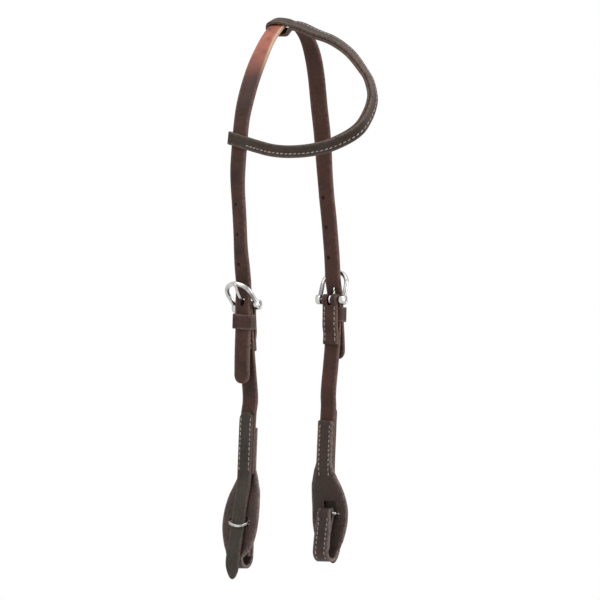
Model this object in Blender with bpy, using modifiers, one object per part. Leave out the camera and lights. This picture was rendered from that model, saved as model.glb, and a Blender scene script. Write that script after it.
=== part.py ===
"""Western headstall with a sliding ear loop, two buckled cheeks and quick-change bit ends.

Metres, +Z up. The crown's underside at the poll is the origin, +X is the side of the ear loop and
+Y is the far cheek. Depth is counted down from the crown's centre line and out is counted
sideways from the middle of the headstall.
"""
import math

import bpy
import bmesh
import numpy as np
from mathutils import Matrix, Vector

# leather
STRAP_WIDTH = 0.016
LEATHER = 0.0032
BIT_LEATHER = 0.003
TAB_LEATHER = 0.003
EAR_LEATHER = 0.003
KEEPER_LEATHER = 0.002
EDGE = 0.0006            # bevel along a strap's edges
GAP = 0.0003             # between pieces that touch
OVERRUN = 0.006          # how far a cutter stands out of what it cuts

# crown strap
CROWN_FLAT = 0.009
CROWN_SPREAD = 0.0775    # from the middle to a hanging strap's centre line
CROWN_DROP = 0.165       # from the apex to where a strap hangs straight
SIDE_DROP = 0.0015       # the near cheek hangs this much lower, the far one higher
SWAY = 0.012
SWAY_START = 0.002
SWAY_END = 0.090
LEAN = 0.009
BOW = 0.002              # how far a strap bows outward between crown and buckle
TWIST = 20               # degrees that a strap turns towards the ear loop below the poll
HOLE_RADIUS = 0.0014
HOLE_PITCH = 0.028
HOLE_SET_BACK = 0.002
HOLE_COUNT = 3
TAIL_LENGTH_NEAR = 0.072
TAIL_LENGTH_FAR = 0.056
TAIL_SETTLE = 0.050
TAIL_KICK = 0.00235
TAIL_TIP = 0.009
BILLET_RAMP = 0.022

# buckles
BAR_DEPTH = 0.261
BAR_SET_IN = 0.003       # the bar lies this far inside the hanging crown strap
BAR_RADIUS = 0.00175
FRAME_WIRE = 0.0022
FRAME_EASE = 0.00275
FRAME_RISE = 0.0275
HEEL_DROP = 0.002
BOSS_RADIUS = 0.0047
BOSS_LENGTH = 0.005
TONGUE_WIRE = 0.0014
TONGUE_EASE = 0.0006
TONGUE_COIL_EASE = 0.0002
TONGUE_PAST_BOW = 0.0022
FRAME_TILT_NEAR = 38
FRAME_TILT_FAR = 21.5
TONGUE_COIL_TURN = 262
SWING_LIMIT = 6          # degrees that a frame, and then its tongue, swings outward
TONGUE_LIMIT = 5

# cheek straps and keepers
CHEEK_LENGTH = 0.157     # from the buckle's bar to the strap's lower end
CHEEK_INSET = 0.00945
CHEEK_LEG = 0.042
SQUARE_END = 0.004
KEEPER_TOP = 0.007
KEEPER_HEIGHT = 0.014
KEEPER_SIDE_EASE = 0.0005
KEEPER_FRONT_EASE = 0.0006
KEEPER_CORNER = 0.0018
KEEPER_TILT = 2.4

# bit ends
BIT_LAP = 0.044          # how far the bit strap laps inside the cheek strap
BIT_REACH = 0.0867       # from the cheek strap's end to the loop's lowest centre line
BIT_BULGE = 0.0135
BIT_LOOP_RADIUS = 0.0092
TEARDROP_WIDTH = 0.0384
TAB_LAP = 0.058
TAB_REACH_NEAR = 0.098
TAB_REACH_FAR = 0.090
TAB_WIDTH = 0.0145
TAB_EASE = 0.0006
TAB_KICK = 0.0055
TAB_TIP = 0.016
RING_WIRE = 0.0014
RING_EASE = 0.00095
RING_CORNER = 0.0019
RING_BOW_CORNER = 0.003
RING_SAG = 0.001
HEM_EASE = 0.0009
SLOT_EASE = 0.0005
SLOT_HEIGHT = 0.008

# ear loop
EAR_WIDTH = 0.012
EAR_REACH = 0.1301
EAR_TOP_OUT = 0.014      # where the loop rides on the crown
EAR_LOW_DEPTH = 0.107    # where it rides on the near strap
EAR_TOP_CLEAR = 0.0003
EAR_TOP_UNDER = 0.0028
EAR_LOW_CLEAR = 0.0006
EAR_LOW_UNDER = 0.0004
EAR_BACK_CLEAR = 0.0008
EAR_BEND = 0.0023
EAR_CLOSE = 0.016
EAR_TURN_BACK = 0.026
EAR_BUTT = 0.0005
EAR_PLY_GAP = 0.0004
EAR_LOW_SLANT = 14        # degrees that the lower loop lies aslant on its strap
EAR_STEP = 0.0095
EAR_BENDS = 6             # rows where the two layers part or meet

# how finely a bend is divided
CHORD_ERROR = 0.00005
LONGEST_STEP = 0.03

# Tables of shares. Each pair is a place along the first size and across the second.
LEAN_SHARES = ((0, 0), (0.257, 0), (0.386, 0.5), (0.515, 1), (0.6, 1.07), (0.68, 1.04), (0.75, 0.82),
               (0.851, 0.6), (0.901, 0.58), (0.931, 0.46), (0.962, 0.33), (1, 0.2))
ROW_SHARE = 1.4          # of the edge bevel: rows nearer than this are merged
TWIST_NEAR_SHARES = ((0.06, 0), (0.25, 1), (0.4, 0.8), (0.56, 0), (0.76, 0), (0.95, -0.5), (1.2, -0.6),
                     (1.4, 0))
TWIST_FAR_SHARES = ((0.06, 0), (0.25, 1), (0.6, 1), (0.95, 0))
BILLET_RAMP_SHARES = ((1, 0.29), (0.864, 0.32), (0.682, 0.4), (0.364, 0.69), (0, 1))
TAIL_SHARES = ((0.14, 0), (0.28, 0.021), (0.42, 0.149), (0.68, 0.617), (1, 0.915))
CHEEK_SHARES = ((0, 0), (0.0446, 0.016), (0.0892, 0.048), (0.134, 0.09), (0.191, 0.175),
                (0.2675, 0.312), (0.395, 0.619), (0.567, 1), (0.643, 0.831), (0.88, 0.831), (1, 0.831))
LEG_SHARES = (0.8, 1.15, 0.8)
BIT_RUN_SHARES = ((0, 0), (0.138, 0.2), (0.3, 0.6), (0.45, 0.86), (0.577, 0.945),
                  (0.715, 1), (0.819, 1.12))
BIT_BACK_SHARES = ((0.8, -0.02), (0.68, 0.04), (0.58, 0.1))
BIT_LOOP_OUT_SHARE = 0.637
RING_BAR_SHARES = (0.49, 0.355)
RING_OUTER_SHARE = 0.53
SLOT_CENTRE_SHARE = 0.51
TURN_IN_SHARE = 0.2
HEM_SHARES = ((0, 0), (0.6, 0), (1, 1))
TEARDROP_SHARES = ((-0.069, 0), (0.023, 0.205), (0.104, 0.429), (0.196, 0.696), (0.288, 0.857),
                   (0.392, 0.964), (0.484, 1), (0.577, 0.973), (0.681, 0.839), (0.784, 0.58),
                   (0.854, 0.268), (0.911, 0))
TAB_RISE_SHARES = ((0, 0), (0.138, 0.15), (0.3, 0.56), (0.45, 0.89), (0.577, 1))
TAB_KICK_SHARES = ((0.22, 0.365), (0.45, 0.79), (0.66, 0.97), (1, 1))       # down beyond the ring
TONGUE_SHARES = ((0.06, 0.15), (0.23, 0.28), (0.5, 0.44), (0.74, 0.65), (0.9, 0.83), (1, 1))
EAR_ARC_SHARES = ((0.159, 0.0), (0.33, 0.046), (0.483, 0.118), (0.666, 0.228), (0.838, 0.384),
                  (0.903, 0.454), (0.983, 0.597), (0.998, 0.665), (1, 0.728), (0.992, 0.794),
                  (0.973, 0.861), (0.933, 0.916), (0.864, 0.97), (0.756, 1.029), (0.636, 1.064),
                  (0.523, 1.08), (0.4, 1.084), (0.28, 1.072), (0.185, 1.05))
ROUND_TIP_SHARES = ((0, 0.36), (0.13, 0.6), (0.3, 0.79), (0.52, 0.92), (0.76, 0.985), (1, 1))
POINT_TIP_SHARES = ((0, 0.16), (0.1, 0.36), (0.3, 0.62), (0.55, 0.82), (0.8, 0.95), (1, 1))
SQUARE_END_SHARES = ((0, 0.74), (0.42, 0.94), (1, 1))

# Sizes that follow from the ones above.
HALF_WIDTH = STRAP_WIDTH / 2
FOLD_RADIUS = BAR_RADIUS + GAP + LEATHER / 2
BILLET_SEAT = FOLD_RADIUS + LEATHER + GAP
BAR_OUT = CROWN_SPREAD - BAR_SET_IN
FRAME_HALF = HALF_WIDTH + FRAME_WIRE + FRAME_EASE
LEG_SPLIT = LEATHER + KEEPER_LEATHER + 2 * GAP
CHEEK_END = BAR_DEPTH + CHEEK_LENGTH
HANG_DEPTH = CHEEK_END + BIT_REACH
CHEEK_OUT = BAR_OUT + FOLD_RADIUS - CHEEK_INSET * CHEEK_SHARES[-1][1]
BIT_OUT = CHEEK_OUT - (LEATHER + BIT_LEATHER) / 2 - GAP
TAB_OUT = CHEEK_OUT + (LEATHER + TAB_LEATHER) / 2 + GAP
TAB_SEAT = (BIT_LEATHER + TAB_LEATHER) / 2 + TAB_EASE
LOOP_OUT = BIT_OUT + BIT_BULGE * BIT_LOOP_OUT_SHARE
LOOP_DEPTH = HANG_DEPTH - BIT_LOOP_RADIUS
RING_HALF = TAB_WIDTH / 2 + RING_EASE + RING_WIRE
HEM_RADIUS = RING_WIRE + GAP + BIT_LEATHER / 2
HEM_HALF = RING_HALF - RING_WIRE - HEM_EASE
EAR_LAYER = EAR_LEATHER / 2 + EAR_PLY_GAP / 2

SIDES = (
    {"name": "near", "sign": -1, "drop": SIDE_DROP, "tilt": FRAME_TILT_NEAR, "tail": TAIL_LENGTH_NEAR,
     "tab": TAB_REACH_NEAR, "twist": TWIST_NEAR_SHARES},
    {"name": "far", "sign": 1, "drop": -SIDE_DROP, "tilt": FRAME_TILT_FAR, "tail": TAIL_LENGTH_FAR,
     "tab": TAB_REACH_FAR, "twist": TWIST_FAR_SHARES},
)

COLOURS = {
    "leather": ((0.105, 0.028, 0.016, 1), 0.42, 0.0),
    "leather_dark": ((0.055, 0.019, 0.013, 1), 0.4, 0.0),
    "leather_inside": ((0.16, 0.042, 0.026, 1), 0.6, 0.0),
    "steel": ((0.72, 0.71, 0.69, 1), 0.2, 1.0),
}


def clear_scene():
    for thing in list(bpy.data.objects):
        bpy.data.objects.remove(thing, do_unlink=True)
    for group in list(bpy.data.collections):
        bpy.data.collections.remove(group)


def ease(share):
    share = min(max(share, 0), 1)
    return share * share * (3 - 2 * share)


def read_table(table, share):
    """Value at a share, smooth between the table's rows and level at its ends."""
    places = [row[0] for row in table]
    values = [row[1] for row in table]
    if share <= places[0]:
        return values[0]
    if share >= places[-1]:
        return values[-1]
    i = max(k for k in range(len(places)) if places[k] <= share)
    slopes = [0.0] * len(places)
    for k in range(1, len(places) - 1):
        before = (values[k] - values[k - 1]) / (places[k] - places[k - 1])
        after = (values[k + 1] - values[k]) / (places[k + 1] - places[k])
        slopes[k] = 0 if before * after <= 0 else 2 * before * after / (before + after)
    span = places[i + 1] - places[i]
    t = (share - places[i]) / span
    return ((1 + 2 * t) * (1 - t) ** 2 * values[i] + t * (1 - t) ** 2 * span * slopes[i]
            + t * t * (3 - 2 * t) * values[i + 1] + t * t * (t - 1) * span * slopes[i + 1])


def sway(depth):
    return -SWAY * ease((depth - SWAY_START) / (SWAY_END - SWAY_START))


def lean(depth):
    return LEAN * read_table(LEAN_SHARES, depth / HANG_DEPTH)


def hang(side, out, depth, along=0.0):
    """World place of a point of a cheek: out from the middle, depth down and along +X."""
    drop = side["drop"] * ease(depth / CROWN_DROP)
    return Vector((lean(depth) + along, side["sign"] * out + sway(depth), LEATHER / 2 - depth - drop))


def spline(knots, fine=14):
    """Dense points of a curve through the knots, without overshoot at uneven spacing."""
    pts = [np.array(k, dtype=float) for k in knots]
    pts = [2 * pts[0] - pts[1]] + pts + [2 * pts[-1] - pts[-2]]
    dense = []
    for i in range(1, len(pts) - 2):
        p0, p1, p2, p3 = pts[i - 1:i + 3]
        t1 = np.linalg.norm(p1 - p0) ** 0.5
        t2 = t1 + np.linalg.norm(p2 - p1) ** 0.5
        t3 = t2 + np.linalg.norm(p3 - p2) ** 0.5
        for t in np.linspace(t1, t2, fine, endpoint=False):
            a1 = ((t1 - t) * p0 + t * p1) / t1
            a2 = ((t2 - t) * p1 + (t - t1) * p2) / (t2 - t1)
            a3 = ((t3 - t) * p2 + (t - t2) * p3) / (t3 - t2)
            b1 = ((t2 - t) * a1 + t * a2) / t2
            b2 = ((t3 - t) * a2 + (t - t1) * a3) / (t3 - t1)
            dense.append(((t2 - t) * b1 + (t - t1) * b2) / (t2 - t1))
    dense.append(pts[-2])
    return dense


def arc(centre, radius, start, end, count=12):
    """Points of an arc in a plane, with its angles in degrees."""
    return [(centre[0] + radius * math.cos(math.radians(a)), centre[1] + radius * math.sin(math.radians(a)))
            for a in np.linspace(start, end, count)]


class Path:
    """A dense line that can be read at any length along it."""

    def __init__(self, points):
        self.points = np.array([tuple(p) for p in points], dtype=float)
        steps = np.linalg.norm(np.diff(self.points, axis=0), axis=1)
        keep = np.concatenate(([True], steps > steps.max() * 1e-6))
        self.points = self.points[keep]
        steps = np.linalg.norm(np.diff(self.points, axis=0), axis=1)
        self.lengths = np.concatenate(([0.0], np.cumsum(steps)))
        self.total = self.lengths[-1]

    def at(self, length):
        return np.array([np.interp(length, self.lengths, self.points[:, k])
                         for k in range(self.points.shape[1])])

    def along(self, length):
        reach = self.total / len(self.lengths)
        ahead = self.at(min(length + reach, self.total)) - self.at(max(length - reach, 0))
        return ahead / np.linalg.norm(ahead)

    def rows(self, extra=()):
        """Lengths for a strap's cross rows: close where the line turns, far apart where it runs."""
        wanted = sorted({0.0, self.total, *[e for e in extra if 0 < e < self.total]})
        rows = [0.0]
        first = 0
        for k in range(2, len(self.points)):
            chord = self.points[k] - self.points[first]
            length = np.linalg.norm(chord)
            between = self.points[first + 1:k] - self.points[first]
            beside = between - np.outer(between @ chord, chord) / length ** 2
            if np.linalg.norm(beside, axis=1).max() > CHORD_ERROR or length > LONGEST_STEP:
                first = k - 1
                rows.append(self.lengths[first])
        least = EDGE * ROW_SHARE
        rows = [r for r in rows if all(abs(r - w) > least for w in wanted)]
        return sorted(rows + wanted)


def tip_rows(total, tip, table, at_start=False):
    lengths = [tip * row[0] for row in table]
    return lengths if at_start else [total - value for value in lengths]


def tip_share(distance, tip, table):
    return read_table(table, distance / tip)


def link(thing, group):
    group.objects.link(thing)
    return thing


def add_mesh(name, bm, origin, group, material=None):
    mesh = bpy.data.meshes.new(name)
    bm.to_mesh(mesh)
    bm.free()
    thing = bpy.data.objects.new(name, mesh)
    thing.location = origin
    if material:
        mesh.materials.append(material)
    for polygon in mesh.polygons:
        polygon.use_smooth = False
    return link(thing, group)


def ribbon(name, rail, thickness, origin, group, material, closed=False):
    """A strap from cross rows, each a place, a direction across and a half width."""
    count = len(rail)
    bm = bmesh.new()
    bmesh.ops.create_grid(bm, x_segments=count - 1, y_segments=1, size=1)
    for vert in bm.verts:
        place, across, half = rail[round((vert.co.x + 1) / 2 * (count - 1))]
        vert.co = Vector(place) + Vector(across) * half * vert.co.y - Vector(origin)
    if closed:
        bmesh.ops.remove_doubles(bm, verts=bm.verts, dist=GAP / 10)
    bmesh.ops.recalc_face_normals(bm, faces=bm.faces)
    thing = add_mesh(name, bm, origin, group, material)
    solid = thing.modifiers.new("thickness", 'SOLIDIFY')
    solid.thickness = thickness
    solid.offset = 0
    solid.use_even_offset = True
    edge = thing.modifiers.new("edge", 'BEVEL')
    edge.width = min(EDGE, thickness / 4)
    edge.segments = 1
    edge.limit_method = 'ANGLE'
    edge.angle_limit = math.radians(50)
    edge.use_clamp_overlap = True
    return thing


def cheek_rail(side, path, rows, half_width, twist=None):
    """Cross rows of a strap that follows a path given as out and depth."""
    rail = []
    line = Path([hang(side, *p) for p in path.points])
    for length in rows:
        spot = path.at(length)
        place = hang(side, *spot)
        where = np.interp(length, path.lengths, line.lengths)
        ahead = Vector(line.along(where))
        turn = twist(spot[1]) if twist else 0.0
        across = Vector((math.cos(turn), math.sin(turn), 0))
        across -= ahead * across.dot(ahead)
        rail.append((place, across.normalized(), half_width(length, spot)))
    return rail


def cutter_box(name, size, place, turn, group, round_axis=None, radius=0.0):
    """A box that cuts, with the edges along one axis rounded."""
    bm = bmesh.new()
    bmesh.ops.create_cube(bm, size=1)
    bmesh.ops.scale(bm, vec=Vector(size), verts=bm.verts)
    if round_axis is not None:
        picked = [e for e in bm.edges
                  if abs((e.verts[0].co - e.verts[1].co).normalized()[round_axis]) > 0.9]
        bmesh.ops.bevel(bm, geom=picked, offset=radius, segments=4, profile=0.5, affect='EDGES')
    thing = add_mesh(name, bm, place, group)
    thing.rotation_euler = turn
    thing.hide_render = True
    thing.display_type = 'WIRE'
    return thing


def cutter_pin(name, radius, length, place, turn, group, sides=12):
    bm = bmesh.new()
    bmesh.ops.create_cone(bm, cap_ends=True, segments=sides, radius1=radius, radius2=radius, depth=length)
    thing = add_mesh(name, bm, place, group)
    thing.rotation_euler = turn
    thing.hide_render = True
    thing.display_type = 'WIRE'
    return thing


def cut(thing, cutter, operation='DIFFERENCE'):
    step = thing.modifiers.new(cutter.name, 'BOOLEAN')
    step.operation = operation
    step.solver = 'EXACT'
    step.object = cutter


def wire(name, points, radius, origin, group, material, closed=False, resolution=2):
    """A round wire along the points, turned into a mesh so that it can be joined and cut."""
    data = bpy.data.curves.new(name, 'CURVE')
    data.dimensions = '3D'
    data.bevel_depth = radius
    data.bevel_resolution = resolution
    data.use_fill_caps = not closed
    line = data.splines.new('POLY')
    line.points.add(len(points) - 1)
    for spot, point in zip(line.points, points):
        spot.co = (*(Vector(point) - Vector(origin)), 1)
    line.use_cyclic_u = closed
    drawn = link(bpy.data.objects.new(name + "_line", data), group)
    bpy.context.view_layer.update()
    mesh = bpy.data.meshes.new_from_object(drawn.evaluated_get(bpy.context.evaluated_depsgraph_get()))
    bpy.data.objects.remove(drawn, do_unlink=True)
    bm = bmesh.new()
    bm.from_mesh(mesh)
    bpy.data.meshes.remove(mesh)
    bmesh.ops.remove_doubles(bm, verts=bm.verts, dist=radius / 100)
    bmesh.ops.recalc_face_normals(bm, faces=bm.faces)
    thing = add_mesh(name, bm, origin, group, material)
    for polygon in thing.data.polygons:
        polygon.use_smooth = len(polygon.vertices) == 4
    return thing


def material_for(name, kind):
    """One Principled material for each piece."""
    colour, roughness, metallic = COLOURS[kind]
    made = bpy.data.materials.new(name + "_" + kind)
    made.use_nodes = True
    shader = made.node_tree.nodes["Principled BSDF"]
    shader.inputs["Base Color"].default_value = colour
    shader.inputs["Roughness"].default_value = roughness
    shader.inputs["Metallic"].default_value = metallic
    made.diffuse_color = colour
    return made


def crown_arc():
    """Out and depth of the crown from the apex to where it hangs straight."""
    bend = CROWN_SPREAD - CROWN_FLAT / 2
    points = [(0.0, 0.0)]
    for angle in np.linspace(0, 90, 61):
        points.append((CROWN_FLAT / 2 + bend * math.sin(math.radians(angle)),
                       CROWN_DROP * (1 - math.cos(math.radians(angle)))))
    return points


def billet_knots(side):
    """Out and depth of the crown's lower end, where it passes the buckle's bar."""
    knots = [(BAR_OUT + BAR_SET_IN + (BILLET_SEAT - BAR_SET_IN) * share, BAR_DEPTH - BILLET_RAMP * up)
             for up, share in BILLET_RAMP_SHARES]
    knots += [(BAR_OUT + BILLET_SEAT + TAIL_KICK * share, BAR_DEPTH + TAIL_SETTLE * down)
              for down, share in TAIL_SHARES]
    knots.append((BAR_OUT + BILLET_SEAT + TAIL_KICK, BAR_DEPTH + side["tail"]))
    return knots


def crown_path(side):
    lower = spline([(CROWN_SPREAD, CROWN_DROP), (CROWN_SPREAD + BOW, (CROWN_DROP + BAR_DEPTH) / 2)]
                   + billet_knots(side))
    return Path(crown_arc() + lower[1:])


def twist_at(side, depth):
    """How far the crown strap is turned about its own length, in radians."""
    return math.radians(TWIST) * read_table(side["twist"], depth / CROWN_DROP)


def tongue_path(side):
    """Centre line of a buckle's tongue as u outward and v up from the bar, and its bow seat."""
    tilt = math.radians(side["tilt"])
    coil = BAR_RADIUS + TONGUE_COIL_EASE + TONGUE_WIRE
    rest = FRAME_WIRE + GAP + TONGUE_WIRE
    seat = (FRAME_RISE * math.sin(tilt) + rest * math.cos(tilt),
            FRAME_RISE * math.cos(tilt) - rest * math.sin(tilt))
    past = (seat[0] + TONGUE_PAST_BOW * math.sin(tilt), seat[1] + TONGUE_PAST_BOW * math.cos(tilt))
    turn = arc((0, 0), coil, -TONGUE_COIL_TURN, 0, 13)
    rise = [turn[-1]] + [(coil + (seat[0] - coil) * out, seat[1] * up) for out, up in TONGUE_SHARES]
    return turn[:-1], spline(rise + [past], 4)


def crossing(first, second):
    """Where two flat lines cross, with the direction of each."""
    for a0, a1 in zip(first[:-1], first[1:]):
        for b0, b1 in zip(second[:-1], second[1:]):
            a0, a1, b0, b1 = (np.array(p, dtype=float) for p in (a0, a1, b0, b1))
            da, db = a1 - a0, b1 - b0
            area = da[0] * db[1] - da[1] * db[0]
            if area == 0:
                continue
            t = ((b0 - a0)[0] * db[1] - (b0 - a0)[1] * db[0]) / area
            s = ((b0 - a0)[0] * da[1] - (b0 - a0)[1] * da[0]) / area
            if 0 <= t <= 1 and 0 <= s <= 1:
                return a0 + da * t, da / np.linalg.norm(da), db / np.linalg.norm(db)
    raise ValueError("the tongue doesn't meet the strap")


def build_crown(group, cutters):
    halves = []
    tip = TAIL_TIP
    for side in SIDES:
        path = crown_path(side)
        ends = tip_rows(path.total, tip, ROUND_TIP_SHARES)
        rows = path.rows(ends + [CROWN_FLAT / 2])
        rail = cheek_rail(side, path, rows, lambda length, spot, total=path.total:
                          HALF_WIDTH * tip_share(total - length, tip, ROUND_TIP_SHARES),
                          lambda depth, side=side: twist_at(side, depth))
        halves.append(rail)
    near, far = halves
    # both halves start at the apex, where the rows run along +X
    rail = list(reversed(near)) + far[1:]
    crown = ribbon("crown_strap", rail, LEATHER, (0, 0, 0), group, material_for("crown_strap", "leather"))
    for side in SIDES:
        spots = crown_path(side).points
        for k in range(HOLE_COUNT):
            depth = BAR_DEPTH - BILLET_RAMP / 2 - HOLE_PITCH * (k + 1)
            turn = (math.radians(90), 0, twist_at(side, depth))
            place = hang(side, np.interp(depth, spots[:, 1], spots[:, 0]), depth, -HOLE_SET_BACK)
            pin = cutter_pin("cut_hole_{}_{}".format(side["name"], k + 1), HOLE_RADIUS,
                             LEATHER + OVERRUN, place, turn, cutters)
            cut(crown, pin)
        cut(crown, tongue_slot(side, cutters))
    return crown


def tongue_slot(side, cutters):
    """The billet's hole for the tongue, long enough for the tongue's slant and its swing."""
    billet = [(out - BAR_OUT, BAR_DEPTH - depth) for out, depth in spline(billet_knots(side))]
    rise = tongue_path(side)[1]
    meet, tongue_way, strap_way = crossing(rise, billet)
    slant = math.acos(min(1, abs(float(tongue_way @ strap_way))))
    reach = np.linalg.norm(meet)
    swing = math.radians(SWING_LIMIT + TONGUE_LIMIT) * reach / math.sin(slant)
    width = 2 * (TONGUE_WIRE + TONGUE_EASE)
    length = width / math.sin(slant) + LEATHER / math.tan(slant) + swing
    down = strap_way if strap_way[1] < 0 else -strap_way
    centre = meet + down * swing / 2
    place = hang(side, BAR_OUT + centre[0], BAR_DEPTH - centre[1])
    angle = side["sign"] * math.atan2(-strap_way[0] * np.sign(strap_way[1]), abs(strap_way[1]))
    return cutter_box("cut_tongue_hole_" + side["name"], (width, LEATHER + OVERRUN, length), place,
                      (angle, 0, 0), cutters, 1, width / 2.2)


def add_joined(thing, name, radius, length, along, cutters):
    """Joins a round bar along X to a piece."""
    bm = bmesh.new()
    bmesh.ops.create_cone(bm, cap_ends=True, segments=14, radius1=radius, radius2=radius, depth=length)
    bmesh.ops.rotate(bm, cent=(0, 0, 0), matrix=Matrix.Rotation(math.radians(90), 3, 'Y'), verts=bm.verts)
    bmesh.ops.translate(bm, vec=(along, 0, 0), verts=bm.verts)
    bar = add_mesh(name, bm, (0, 0, 0), cutters)
    bar.hide_render = True
    bar.display_type = 'WIRE'
    bar.parent = thing
    cut(thing, bar, 'UNION')


def build_buckle(side, group, cutters):
    name = side["name"]
    origin = hang(side, BAR_OUT, BAR_DEPTH)
    straight = FRAME_RISE - FRAME_HALF
    bow = [(-FRAME_HALF, -HEEL_DROP), (-FRAME_HALF, straight / 2)]
    bow += [(x, straight + y) for x, y in arc((0, 0), FRAME_HALF, 180, 0, 17)]
    bow += [(FRAME_HALF, straight / 2), (FRAME_HALF, -HEEL_DROP)]
    points = [Vector((x, 0, w)) for x, w in bow]
    frame = wire(name + "_buckle_frame", points, FRAME_WIRE, (0, 0, 0), group,
                 material_for(name + "_buckle_frame", "steel"))
    add_joined(frame, "join_bar_" + name, BAR_RADIUS, 2 * FRAME_HALF, 0.0, cutters)
    for end in (-1, 1):
        add_joined(frame, "join_boss_{}_{}".format(name, end), BOSS_RADIUS, BOSS_LENGTH,
                   end * FRAME_HALF, cutters)
    frame.location = origin
    frame.rotation_euler = (-side["sign"] * math.radians(side["tilt"]), 0, 0)

    coil, rise = tongue_path(side)
    spots = [Vector((0, side["sign"] * u, v)) for u, v in coil + rise]
    tongue = wire(name + "_buckle_tongue", spots, TONGUE_WIRE, (0, 0, 0), group,
                  material_for(name + "_buckle_tongue", "steel"))
    tongue.location = origin
    bpy.context.view_layer.update()
    tongue.parent = frame
    tongue.matrix_parent_inverse = frame.matrix_world.inverted()
    return frame, tongue


def cheek_leg_out(down):
    """Out of the cheek strap's outer leg at a depth below the bar."""
    return BAR_OUT + FOLD_RADIUS - CHEEK_INSET * read_table(CHEEK_SHARES, down / CHEEK_LENGTH)


def leg_gap(down):
    """From the outer leg's centre line to the inner leg's: round the bar, past the keeper, sewn."""
    above, below, sewn = LEG_SHARES
    table = ((0, 2 * FOLD_RADIUS), (KEEPER_TOP * above, LEG_SPLIT),
             (KEEPER_TOP + KEEPER_HEIGHT * below, LEG_SPLIT), (CHEEK_LEG * sewn, LEATHER + GAP),
             (CHEEK_LEG, LEATHER + GAP))
    return read_table(table, down)


def build_cheek(side, group, cutters):
    name = side["name"]
    downs = np.linspace(CHEEK_LENGTH, 0, 90)[:-1]
    outer = [(cheek_leg_out(down), BAR_DEPTH + down) for down in downs]
    fold = [(BAR_OUT + x, BAR_DEPTH - y) for x, y in arc((0, 0), FOLD_RADIUS, 0, 180, 17)]
    inner = [(cheek_leg_out(down) - leg_gap(down), BAR_DEPTH + down)
             for down in np.linspace(0, CHEEK_LEG, 40)[1:]]
    path = Path(outer + fold + inner)
    ends = tip_rows(path.total, SQUARE_END, SQUARE_END_SHARES)
    rows = path.rows(ends)
    rail = cheek_rail(side, path, rows, lambda length, spot:
                      HALF_WIDTH * tip_share(path.total - length, SQUARE_END, SQUARE_END_SHARES))
    cheek = ribbon(name + "_cheek_strap", rail, LEATHER, hang(side, BAR_OUT, BAR_DEPTH), group,
                   material_for(name + "_cheek_strap", "leather"))
    coil = BAR_RADIUS + TONGUE_COIL_EASE + 2 * TONGUE_WIRE + TONGUE_EASE
    top = FOLD_RADIUS + LEATHER
    slot = cutter_box("cut_fold_slot_" + name,
                      (2 * (TONGUE_WIRE + TONGUE_EASE), 2 * top, coil + top),
                      hang(side, BAR_OUT, BAR_DEPTH + (coil - top) / 2), (0, 0, 0), cutters)
    cut(cheek, slot)
    return cheek


def build_keeper(side, group):
    name = side["name"]
    middle = KEEPER_TOP + KEEPER_HEIGHT / 2
    leg = cheek_leg_out(middle)
    back = leg - (LEATHER + KEEPER_LEATHER) / 2 - GAP
    front = (BAR_OUT + BILLET_SEAT + TAIL_KICK * TAIL_SHARES[2][1] + (LEATHER + KEEPER_LEATHER) / 2
             + KEEPER_FRONT_EASE)
    half = HALF_WIDTH + KEEPER_SIDE_EASE + KEEPER_LEATHER / 2
    origin = hang(side, (back + front) / 2, BAR_DEPTH + middle)
    deep = (front - back) / 2
    corner = KEEPER_CORNER
    points = []
    for cx, cy, start in ((half, deep, 0), (-half, deep, 90), (-half, -deep, 180), (half, -deep, 270)):
        centre = (cx - math.copysign(corner, cx), cy - math.copysign(corner, cy))
        points += arc(centre, corner, start, start + 90, 4)
    tilt = math.radians(KEEPER_TILT) * side["sign"]
    up = Vector((0, math.sin(tilt), math.cos(tilt)))
    out = Vector((0, side["sign"] * math.cos(tilt), -side["sign"] * math.sin(tilt)))
    rail = [(origin + Vector((x, 0, 0)) + out * y, up, KEEPER_HEIGHT / 2)
            for x, y in points + points[:1]]
    return ribbon(name + "_keeper", rail, KEEPER_LEATHER, origin, group,
                  material_for(name + "_keeper", "leather_dark"), closed=True)


def bit_run_out(depth):
    """Out of the bit strap's outer run, which meets the loop upright."""
    rows = [(CHEEK_END + BIT_REACH * down, BIT_OUT + BIT_BULGE * out) for down, out in BIT_RUN_SHARES]
    rows.append((LOOP_DEPTH, LOOP_OUT + BIT_LOOP_RADIUS))
    return read_table(rows, depth)


def bit_run():
    """Out and depth of the bit strap's outer run, from its top to the loop."""
    depths = np.linspace(CHEEK_END - BIT_LAP, LOOP_DEPTH, 120)
    return [(bit_run_out(depth), depth) for depth in depths]


def ring_places():
    """The lock ring's inner bar, held in the hem, and its outer bar, outside the locking tab."""
    down, out = RING_BAR_SHARES
    inner = (BIT_OUT + BIT_BULGE * out, CHEEK_END + BIT_REACH * down)
    depth = CHEEK_END + BIT_REACH * RING_OUTER_SHARE
    outer = (bit_run_out(depth) + TAB_SEAT + TAB_LEATHER / 2 + GAP + RING_WIRE, depth)
    return inner, outer


def offset_left(points, distance):
    """The same flat line moved sideways."""
    moved = []
    for i, p in enumerate(points):
        a = np.array(points[max(i - 1, 0)])
        b = np.array(points[min(i + 1, len(points) - 1)])
        way = (b - a) / np.linalg.norm(b - a)
        moved.append((p[0] + way[1] * distance, p[1] - way[0] * distance))
    return moved


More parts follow.
